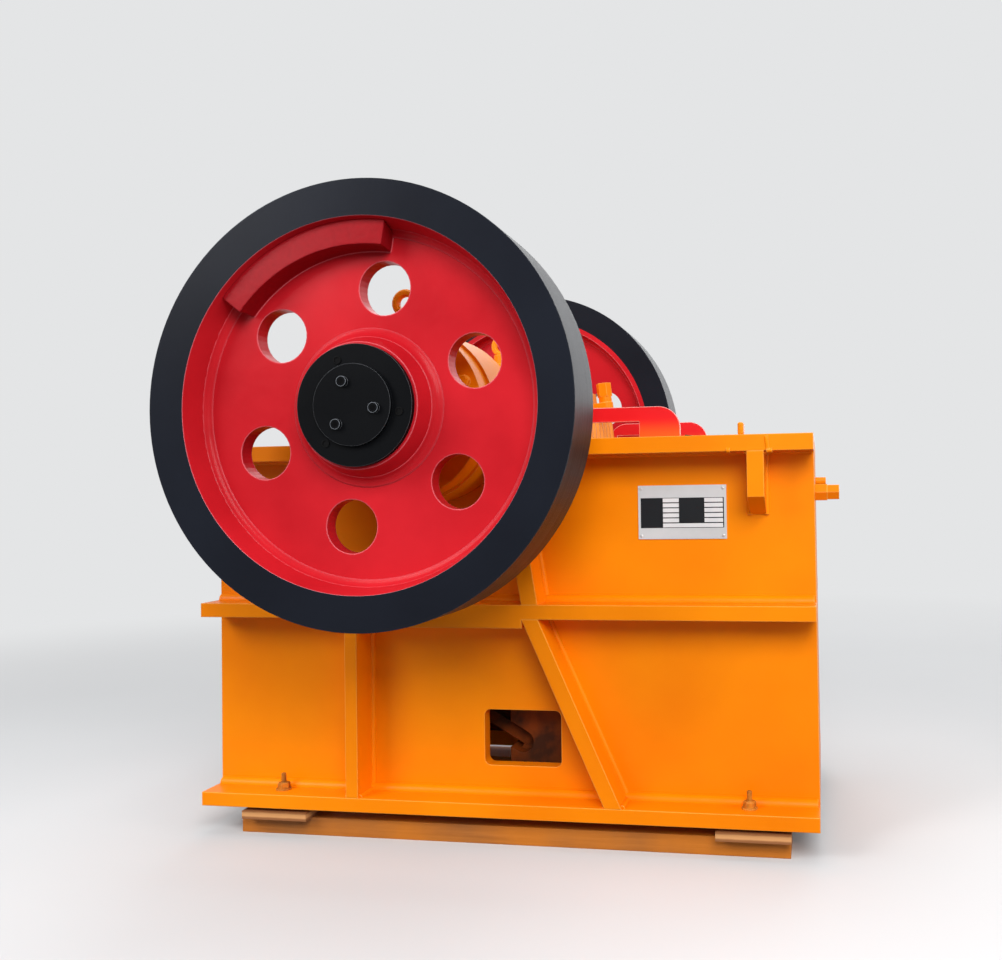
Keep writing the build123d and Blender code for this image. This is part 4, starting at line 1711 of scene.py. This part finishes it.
@dataclass
class WeldedFrame:
    """The frame's welds, the small lugs on its top flanges and its holding-down bolts."""

    shop: PaintShop
    shaft: Vector
    base_leg: float = 0.015
    flange_leg: float = 0.015
    rib_leg: float = 0.0075
    gusset_leg: float = 0.006
    tack_leg: float = 0.0035
    bump_before: float = 0.042
    diagonal_foot: float = 0.423
    diagonal_knee: float = 0.247
    diagonal_top: float = 0.195
    diagonal_half: float = 0.018
    lug_ahead: float = 0.703
    lug_length: float = 0.012
    lug_depth: float = 0.03
    lug_height: float = 0.026
    bolt_ahead: tuple[float, float] = (-0.352, 0.706)
    bolt_out: float = 0.301
    run_inset: float = 0.004
    tip_inset: float = 0.008
    lug_inset: float = 0.006
    lug_chamfer: float = 0.004
    lug_sink: float = 0.001
    tack_inset: float = 0.002
    tack_ripple: float = 0.004
    tack_pitch: float = 0.01
    joint_ahead: float = 0.006
    joint_lean: float = 0.003
    joint_run: float = 0.012
    joint_ends: tuple[float, float] = (0.004, 0.001)
    bump_run: float = 0.008
    bump_lift: float = 0.002
    guard_tack: tuple[float, float] = (0.002, 0.016)
    plate_y: float = field(init=False)
    tip_y: float = field(init=False)
    rear_x: float = field(init=False)
    front_x: float = field(init=False)
    base_top: float = field(init=False)
    middle_top: float = field(init=False)
    middle_under: float = field(init=False)
    top_under: float = field(init=False)
    top: float = field(init=False)
    rib: tuple[float, float] = field(init=False)
    gusset: tuple[float, float] = field(init=False)
    gusset_low: float = field(init=False)

    def __post_init__(self) -> None:
        """Reads the plates' and flanges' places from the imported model."""
        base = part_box("base_flange_far")
        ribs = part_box("vertical_ribs")
        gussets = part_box("top_gussets")
        self.plate_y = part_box("side_plate_far")[1].y
        self.rear_x = base[0].x
        self.front_x, self.tip_y, self.base_top = base[1]
        self.middle_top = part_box("middle_flange_far")[1].z
        self.middle_under = ribs[1].z
        self.top_under = gussets[1].z
        self.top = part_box("top_flange_far")[1].z
        self.rib = (ribs[0].x, ribs[1].x)
        self.gusset = (gussets[0].x, gussets[1].x)
        self.gusset_low = gussets[0].z

    def ahead(self, distance: float) -> float:
        """The X of a place this far ahead of the shaft."""
        return self.shaft.x + distance

    def along(self, height: float, y: float) -> tuple[Point, Point]:
        """A corner line along the whole frame at one height."""
        return ((self.rear_x + self.run_inset, y, height), (self.front_x - self.run_inset, y, height))

    def leaning(self, side: Side, offset: float) -> list[tuple[Point, Point]]:
        """The two corner lines beside the diagonal rib.

        Args:
            side: which side of the machine.
            offset: the corner's distance from the rib's middle.

        Returns:
            The lower and the upper line.
        """
        y = side.value * self.plate_y
        return [
            (
                (self.ahead(self.diagonal_foot) + offset, y, self.base_top),
                (self.ahead(self.diagonal_knee) + offset, y, self.middle_under),
            ),
            (
                (self.ahead(self.diagonal_knee) + offset, y, self.middle_top),
                (self.ahead(self.diagonal_top) + offset, y, self.top_under),
            ),
        ]

    def welds(self) -> None:
        """Lays every weld that shows on the outside."""
        base, flange, rib, gusset = [], [], [], []
        for side in Side:
            y = side.value * self.plate_y
            tip = side.value * (self.tip_y - self.tip_inset)
            base.append(self.along(self.base_top, y))
            flange.append(self.along(self.middle_top, y))
            for x in self.rib:
                rib.append(((x, y, self.base_top), (x, y, self.middle_under)))
                gusset.append(((x, y, self.base_top), (x, tip, self.base_top)))
            for offset in (-self.diagonal_half, self.diagonal_half):
                rib.extend(self.leaning(side, offset))
                foot = self.ahead(self.diagonal_foot) + offset
                gusset.append(((foot, y, self.base_top), (foot, tip, self.base_top)))
            for x in self.gusset:
                gusset.append(((x, y, self.top_under), (x, y, self.gusset_low)))
                gusset.append(((x, y, self.top_under), (x, tip, self.top_under)))
            gusset.append(self.along(self.top_under, y))
            gusset.append(self.along(self.middle_under, y))
        paint = self.shop.orange
        WeldRun("welds_base", base, self.base_leg, paint).build()
        WeldRun("welds_middle_flange", flange, self.flange_leg, paint, seed=8).build()
        WeldRun("welds_ribs", rib, self.rib_leg, paint, seed=11).build()
        WeldRun("welds_gussets", gusset, self.gusset_leg, paint, seed=14).build()
        ripple, pitch = self.tack_ripple, self.tack_pitch
        WeldRun("welds_tacks", self.tacks(), self.tack_leg, paint, ripple, pitch, seed=17).build()

    def tacks(self) -> list[tuple[Point, Point]]:
        """The rough short beads: across each top flange's edge, and at each guard's front foot."""
        lines = []
        guard_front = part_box("guard_plates")[1].x
        guard_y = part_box("guard_plates")[1].y - self.tack_leg
        for side in Side:
            tip = side.value * (self.tip_y - self.tack_inset)
            joint = self.gusset[1] + self.joint_ahead
            high = self.top - self.joint_ends[0]
            low = self.top_under + self.joint_ends[1]
            lines.append(((joint, tip, high), (joint + self.joint_lean, tip, low)))
            lines.append(((joint, tip, self.top_under), (joint + self.joint_run, tip, self.top_under)))
            bump = self.gusset[0] - self.bump_before
            low = self.top_under + self.bump_lift
            lines.append(((bump, tip, low), (bump + self.bump_run, tip, low)))
            foot = side.value * guard_y
            start, end = guard_front - self.guard_tack[0], guard_front + self.guard_tack[1]
            lines.append(((start, foot, self.top), (end, foot, self.top)))
        return lines

    def lugs(self) -> None:
        """Stands a small lug near the front end of each top flange."""
        bm = bmesh.new()
        for side in Side:
            outer = side.value * (self.tip_y - self.lug_inset)
            inner = outer - side.value * self.lug_depth
            x = self.ahead(self.lug_ahead)
            low = Vector((x - self.lug_length / 2, min(outer, inner), self.top - self.lug_sink))
            high = Vector((x + self.lug_length / 2, max(outer, inner), self.top + self.lug_height))
            add_block(bm, low, high, self.lug_chamfer)
        settle("top_lugs", mesh_from(bm, "top_lugs", False), self.shop.orange, Body.FRAME)

    def bolts(self) -> None:
        """Sets the bolts that hold the frame down on its packers."""
        pattern = hex_nut_on_stud(
            across=0.024, nut=0.013, washer=0.017, washer_high=0.003, stud=0.0055, top=0.037
        )
        seats = []
        for side in Side:
            for place in self.bolt_ahead:
                seat = (self.ahead(place), side.value * self.bolt_out, self.base_top)
                seats.append((seat, (0.0, 0.0, 1.0)))
        FastenerSet("base_bolts", pattern, seats, self.shop.bolt, Body.FRAME, Slot.ORANGE).build()

    def build(self) -> None:
        """Builds all of the frame's added pieces."""
        self.welds()
        self.lugs()
        self.bolts()


@dataclass
class ShaftBearings:
    """The bolts that hold the bearing housings and their covers."""

    shop: PaintShop
    shaft: Vector
    foot_height: float = 0.038
    foot_bolt_ahead: float = 0.238
    foot_bolt_in: float = 0.012
    cover_bolt_circle: float = 0.158
    cover_bolt_count: int = 8

    def build(self) -> None:
        """Sets the foot bolts and the cover bolts."""
        foot_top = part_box("top_flange_far")[1].z + self.foot_height
        out = (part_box("side_plate_far")[1].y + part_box("top_flange_far")[1].y) / 2 - self.foot_bolt_in
        seats = []
        for side in Side:
            for way in (-1, 1):
                place = (self.shaft.x + way * self.foot_bolt_ahead, side.value * out, foot_top)
                seats.append((place, (0.0, 0.0, 1.0)))
        pattern = hex_bolt_head(across=0.036, head=0.019, washer=0.026, washer_high=0.004)
        paint = self.shop.orange
        FastenerSet("housing_foot_bolts", pattern, seats, paint, Body.FRAME, Slot.ORANGE, seed=2).build()
        degrees = [360.0 * (i + 0.5) / self.cover_bolt_count for i in range(self.cover_bolt_count)]
        seats = seats_on_circle(self.shaft, self.cover_bolt_circle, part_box("bearing_cover_far")[1].y, degrees)
        pattern = hex_bolt_head(across=0.024, head=0.010, washer=0.014, washer_high=0.002)
        FastenerSet("cover_bolts", pattern, seats, self.shop.orange, Body.FRAME, Slot.ORANGE, seed=4).build()


@dataclass
class Flywheels:
    """The wheels' cast fillets and the screws in their lock rings."""

    shop: PaintShop
    shaft: Vector
    rim_fillet: float = 0.012
    hub_fillet: float = 0.014
    hub_root: float = 0.142
    hub_back: float = 0.120
    hub_rise: float = 0.047
    hub_taper: float = 0.020
    web_recess: float = 0.060
    web_thick: float = 0.035
    rim_taper: float = 0.014
    fillet_steps: int = 6
    bury: float = 0.002
    ring_screw_circle: float = 0.092
    sides: int = 144

    def ring(self, bm: bmesh.types.BMesh, profile: list[tuple[float, float]]) -> None:
        """Adds a closed ring about the shaft.

        Args:
            bm: the bmesh that gets it.
            profile: (radius, y) corners of its section, in order.
        """
        rings = []
        for i in range(self.sides):
            angle = 2 * math.pi * i / self.sides
            rings.append(
                [
                    bm.verts.new((self.shaft.x + r * math.cos(angle), y, self.shaft.z + r * math.sin(angle)))
                    for r, y in profile
                ]
            )
        for i in range(self.sides):
            here, there = rings[i], rings[(i + 1) % self.sides]
            for k in range(len(profile)):
                n = (k + 1) % len(profile)
                bm.faces.new((here[k], here[n], there[n], there[k]))

    def fillet(
        self, corner_r: float, corner_y: float, radial: int, outward: int, size: float, lean: float
    ) -> list[tuple[float, float]]:
        """Section of a concave fillet in the corner between the web and a wall.

        Args:
            corner_r: the corner's radius from the shaft.
            corner_y: the web face's y.
            radial: 1 if the web lies at larger radii than the wall, else -1.
            outward: 1 or -1, the way in which the wall rises from the web along Y.
            size: the fillet's radius.
            lean: how far the wall moves in radius over the fillet's height.

        Returns:
            The section's corners as (radius, y).
        """
        points = []
        for i in range(self.fillet_steps + 1):
            angle = math.pi / 2 * i / self.fillet_steps
            along_web = size * (1 - math.sin(angle))
            up_wall = size * (1 - math.cos(angle))
            wall = lean * up_wall / size
            points.append((corner_r + wall + radial * along_web, corner_y + outward * up_wall))
        points.append((points[-1][0] - radial * self.bury, points[-1][1]))
        points.append((corner_r - radial * self.bury, corner_y - outward * self.bury))
        points.append((points[0][0], corner_y - outward * self.bury))
        return points

    def fillets(self) -> None:
        """Runs the cast fillets round both faces of both webs."""
        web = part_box("flywheel_far")
        web_radius = (web[1].x - web[0].x) / 2
        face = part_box("flywheel_rim_far")[1].y - self.web_recess
        back = face - self.web_thick
        rim_lean = self.rim_taper * self.rim_fillet / self.web_recess
        hub_lean = -self.hub_taper * self.hub_fillet / self.hub_rise
        bm = bmesh.new()
        for side in Side:
            s = side.value
            self.ring(bm, self.fillet(web_radius, s * face, -1, s, self.rim_fillet, rim_lean))
            self.ring(bm, self.fillet(web_radius, s * back, -1, -s, self.rim_fillet, rim_lean))
            self.ring(bm, self.fillet(self.hub_root, s * face, 1, s, self.hub_fillet, hub_lean))
            self.ring(bm, self.fillet(self.hub_back, s * back, 1, -s, self.hub_fillet, 0.0))
        settle("wheel_fillets", mesh_from(bm, "wheel_fillets", True), self.shop.red, Body.ROTOR)

    def screws(self) -> None:
        """Sets the sunk socket screws of the lock rings."""
        seats = seats_on_circle(self.shaft, self.ring_screw_circle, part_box("lock_rings")[1].y, SCREW_DEGREES)
        pattern = socket_screw_head(radius=0.008, high=0.002, socket=0.0062, deep=0.0015)
        # The lock rings' screws are finished near-black as painted shade of the hollows they sit in.
        FastenerSet("ring_screws", pattern, seats, self.shop.screw_shade, Body.ROTOR, Slot.BLACK).build()

    def build(self) -> None:
        """Builds the fillets and the screws."""
        self.fillets()
        self.screws()


@dataclass
class RatingPlate:
    """The bare rating plate: empty panels where its rows are, a thin frame and four rivets."""

    shop: PaintShop
    margin: float = 0.0055
    head_room: float = 0.027
    foot_room: float = 0.024
    columns: tuple[float, ...] = (0.0, 0.257, 0.475, 0.756, 1.0)
    rows: int = 6
    panel_lift: float = 0.0005
    cell_lift: float = 0.0009
    cell_gap: float = 0.0022
    panel_bury: float = 0.0003
    panel_chamfer: float = 0.0002
    rivet_inset: float = 0.007

    def panel(
        self, bm: bmesh.types.BMesh, x: tuple[float, float], z: tuple[float, float], face: float, lift: float
    ) -> None:
        """Adds a thin panel on the plate's face.

        Args:
            bm: the bmesh that gets it.
            x: its two ends along X.
            z: its foot and head.
            face: the plate's face.
            lift: how far it stands off that.
        """
        low = Vector((x[0], face - lift, z[0]))
        high = Vector((x[1], face + self.panel_bury, z[1]))
        add_block(bm, low, high, self.panel_chamfer)

    def build(self) -> None:
        """Builds the panels, the empty cells and the rivets."""
        low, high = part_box("nameplate")
        face = low.y
        x0, x1 = low.x + self.margin, high.x - self.margin
        z0, z1 = low.z + self.foot_room, high.z - self.head_room
        dark = bmesh.new()
        self.panel(dark, (x0, x1), (z0, z1), face, self.panel_lift)
        settle("plate_panels", mesh_from(dark, "plate_panels", False), self.shop.ink, Body.FRAME)
        pale = bmesh.new()
        width, high_row = x1 - x0, (z1 - z0) / self.rows
        for row in range(self.rows):
            top = z1 - row * high_row - self.cell_gap / 2
            bottom = z1 - (row + 1) * high_row + self.cell_gap / 2
            if row == self.rows - 1:
                spans = [(self.columns[1], self.columns[4])]
            else:
                spans = [(self.columns[1], self.columns[2]), (self.columns[3], self.columns[4])]
            for start, end in spans:
                cell_x = (x0 + start * width + self.cell_gap, x0 + end * width - self.cell_gap)
                self.panel(pale, cell_x, (bottom, top), face, self.cell_lift)
        cells = mesh_from(pale, "plate_cells", False)
        settle("plate_cells", cells, self.shop.cell, Body.FRAME)
        seats = []
        for x in (low.x + self.rivet_inset, high.x - self.rivet_inset):
            for z in (low.z + self.rivet_inset, high.z - self.rivet_inset):
                seats.append(((x, face, z), (0.0, -1.0, 0.0)))
        pattern = rivet_head(radius=0.0036, high=0.0018)
        FastenerSet("plate_rivets", pattern, seats, self.shop.aluminium, Body.FRAME, Slot.ALUMINIUM).build()


@dataclass(frozen=True)
class Lamp:
    """One square soft lamp: where it is, what it faces, its side in metres and its power in watts."""

    name: str
    at: Point
    aim: Point
    size: float
    watts: float

    def build(self) -> None:
        """Adds the lamp to the scene."""
        light = bpy.data.lights.new(self.name, "AREA")
        light.shape = "SQUARE"
        light.size = self.size
        light.energy = self.watts
        lamp = bpy.data.objects.new(self.name, light)
        bpy.context.scene.collection.objects.link(lamp)
        lamp.location = self.at
        lamp.rotation_mode = "QUATERNION"
        lamp.rotation_quaternion = (Vector(self.aim) - Vector(self.at)).to_track_quat("-Z", "Y")


LAMPS = (
    Lamp("key_lamp", (1.5, -3.6, 2.9), (0.0, 0.0, 0.5), 2.2, 172.0),
    Lamp("fill_lamp", (-2.6, -3.0, 2.7), (0.0, 0.0, 0.5), 1.8, 104.0),
    Lamp("side_lamp", (3.9, -1.2, 1.8), (0.0, 0.0, 0.6), 1.8, 45.0),
    Lamp("top_lamp", (0.0, 0.2, 4.4), (0.0, 0.0, 0.5), 2.2, 60.0),
    Lamp("rear_lamp", (-0.9, 4.2, 3.0), (0.0, 0.0, 0.6), 2.4, 34.0),
    Lamp("rear_side_lamp", (1.6, 4.0, 2.2), (0.0, 0.0, 0.8), 2.4, 30.0),
)


@dataclass
class Studio:
    """The camera at the photograph's place, a pale floor and plain soft light."""

    camera_at: Point = (0.67649, -2.32237, 0.75865)
    yaw: float = 0.1739
    pitch: float = -0.0193
    roll: float = -0.0155
    focal_px: float = 961.05
    centre_px: tuple[float, float] = (651.76, 473.23)
    frame_px: tuple[int, int] = (1002, 960)
    sensor_mm: float = 36.0
    clip: tuple[float, float] = (0.05, 100.0)
    floor_radius: float = 60.0
    floor_sides: int = 96
    floor_mottle_mm: float = 900.0
    floor_roughness: float = 0.7
    fade_from: float = 1.2
    fade_to: float = 5.0
    backdrop: str = "#E4E5E6"
    floor_tone: str = "#C9CACB"
    floor_light: str = "#D0D1D2"
    floor_bounce: str = "#5C5D5F"
    sky_tone: str = "#F4F6FA"
    sky_strength: float = 0.32

    def camera(self) -> None:
        """Places the camera."""
        lens = bpy.data.cameras.new("photo_camera")
        lens.sensor_fit = "HORIZONTAL"
        lens.sensor_width = self.sensor_mm
        lens.lens = self.focal_px / self.frame_px[0] * self.sensor_mm
        lens.shift_x = (self.frame_px[0] / 2 - self.centre_px[0]) / self.frame_px[0]
        lens.shift_y = (self.centre_px[1] - self.frame_px[1] / 2) / self.frame_px[0]
        lens.clip_start, lens.clip_end = self.clip
        camera = bpy.data.objects.new("photo_camera", lens)
        bpy.context.scene.collection.objects.link(camera)
        ahead = Vector(
            (
                -math.sin(self.yaw) * math.cos(self.pitch),
                math.cos(self.yaw) * math.cos(self.pitch),
                -math.sin(self.pitch),
            )
        )
        right = ahead.cross(Vector((0.0, 0.0, 1.0))).normalized()
        up = right.cross(ahead)
        right_rolled = right * math.cos(self.roll) + up * math.sin(self.roll)
        up_rolled = -right * math.sin(self.roll) + up * math.cos(self.roll)
        camera.rotation_mode = "QUATERNION"
        columns = [right_rolled, up_rolled, -ahead]
        matrix = camera.matrix_world.copy()
        for i, column in enumerate(columns):
            for k in range(3):
                matrix[k][i] = column[k]
        for k in range(3):
            matrix[k][3] = self.camera_at[k]
        camera.matrix_world = matrix
        bpy.context.scene.camera = camera

    def floor(self) -> None:
        """Lays the pale floor."""
        bm = bmesh.new()
        bmesh.ops.create_circle(bm, cap_ends=True, segments=self.floor_sides, radius=self.floor_radius)
        mesh = mesh_from(bm, "studio_floor", False)
        if mesh.polygons[0].normal.z < 0:
            mesh.flip_normals()
        floor = bpy.data.objects.new("studio_floor", mesh)
        bpy.context.scene.collection.objects.link(floor)
        # Matt painted screed: an even pale tone with a faint broad mottle, which fades into the backdrop.
        material, shader = new_material("PaleStudioFloor")
        tree = material.node_tree
        place = add_node(tree, "ShaderNodeTexCoord").outputs["Object"]
        mottle = add_node(
            tree, "ShaderNodeTexNoise", {"Vector": place, "Scale": per_metre(self.floor_mottle_mm)}
        )
        pale = add_node(
            tree,
            "ShaderNodeMix",
            {0: mottle.outputs["Fac"], 6: srgb(self.floor_tone), 7: srgb(self.floor_light)},
            data_type="RGBA",
        )
        path = add_node(tree, "ShaderNodeLightPath")
        seen = add_node(
            tree,
            "ShaderNodeMath",
            {0: path.outputs["Is Camera Ray"], 1: path.outputs["Is Glossy Ray"]},
            operation="MAXIMUM",
        ).outputs[0]
        colour = add_node(
            tree,
            "ShaderNodeMix",
            {0: seen, 6: srgb(self.floor_bounce), 7: pale.outputs[2]},
            data_type="RGBA",
        )
        distance = add_node(tree, "ShaderNodeVectorMath", {0: place}, operation="LENGTH")
        away = add_node(
            tree,
            "ShaderNodeMapRange",
            {"Value": distance.outputs["Value"], "From Min": self.fade_from, "From Max": self.fade_to},
            interpolation_type="SMOOTHSTEP",
        )
        glow = add_node(tree, "ShaderNodeMath", {0: seen, 1: away.outputs["Result"]}, operation="MULTIPLY")
        far = add_node(tree, "ShaderNodeEmission", {"Color": srgb(self.backdrop), "Strength": 1.0})
        blend = add_node(
            tree, "ShaderNodeMixShader", {0: glow.outputs[0], 1: shader.outputs[0], 2: far.outputs[0]}
        )
        feed(tree, shader, {"Base Color": colour.outputs[2], "Roughness": self.floor_roughness})
        feed(tree, tree.nodes["Material Output"], {"Surface": blend.outputs[0]})
        mesh.materials.append(material)

    def sky(self) -> None:
        """Gives an even dim light, and a pale background to the camera, reflections and clear pieces."""
        world = bpy.data.worlds.new("studio_sky")
        bpy.context.scene.world = world
        world.use_nodes = True
        tree = world.node_tree
        tree.nodes.clear()
        path = add_node(tree, "ShaderNodeLightPath")
        direct = add_node(
            tree,
            "ShaderNodeMath",
            {0: path.outputs["Is Camera Ray"], 1: path.outputs["Is Transmission Ray"]},
            operation="MAXIMUM",
        )
        seen = add_node(
            tree,
            "ShaderNodeMath",
            {0: direct.outputs[0], 1: path.outputs["Is Glossy Ray"]},
            operation="MAXIMUM",
        )
        light = add_node(
            tree, "ShaderNodeBackground", {"Color": srgb(self.sky_tone), "Strength": self.sky_strength}
        )
        backdrop = add_node(tree, "ShaderNodeBackground", {"Color": srgb(self.backdrop), "Strength": 1.0})
        final = add_node(
            tree, "ShaderNodeMixShader", {0: seen.outputs[0], 1: light.outputs[0], 2: backdrop.outputs[0]}
        )
        add_node(tree, "ShaderNodeOutputWorld", {"Surface": final.outputs[0]})

    def build(self) -> None:
        """Builds camera, floor, lamps and sky, and sets the view."""
        self.camera()
        self.floor()
        self.sky()
        for lamp in LAMPS:
            lamp.build()
        bpy.context.scene.view_settings.view_transform = "Standard"


def main() -> None:
    """Builds the scene in order."""
    logging.basicConfig(level=logging.INFO, format="%(message)s", stream=sys.stdout)
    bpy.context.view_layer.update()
    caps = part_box("end_caps")
    shaft = (caps[0] + caps[1]) / 2
    Studio().build()
    shop = PaintShop(shaft)
    shop.dress_all()
    log.info("dressed %d packed nodes", len(frame["nodes"]))
    WeldedFrame(shop, shaft).build()
    ShaftBearings(shop, shaft).build()
    Flywheels(shop, shaft).build()
    RatingPlate(shop).build()


if __name__ == "__main__":
    main()
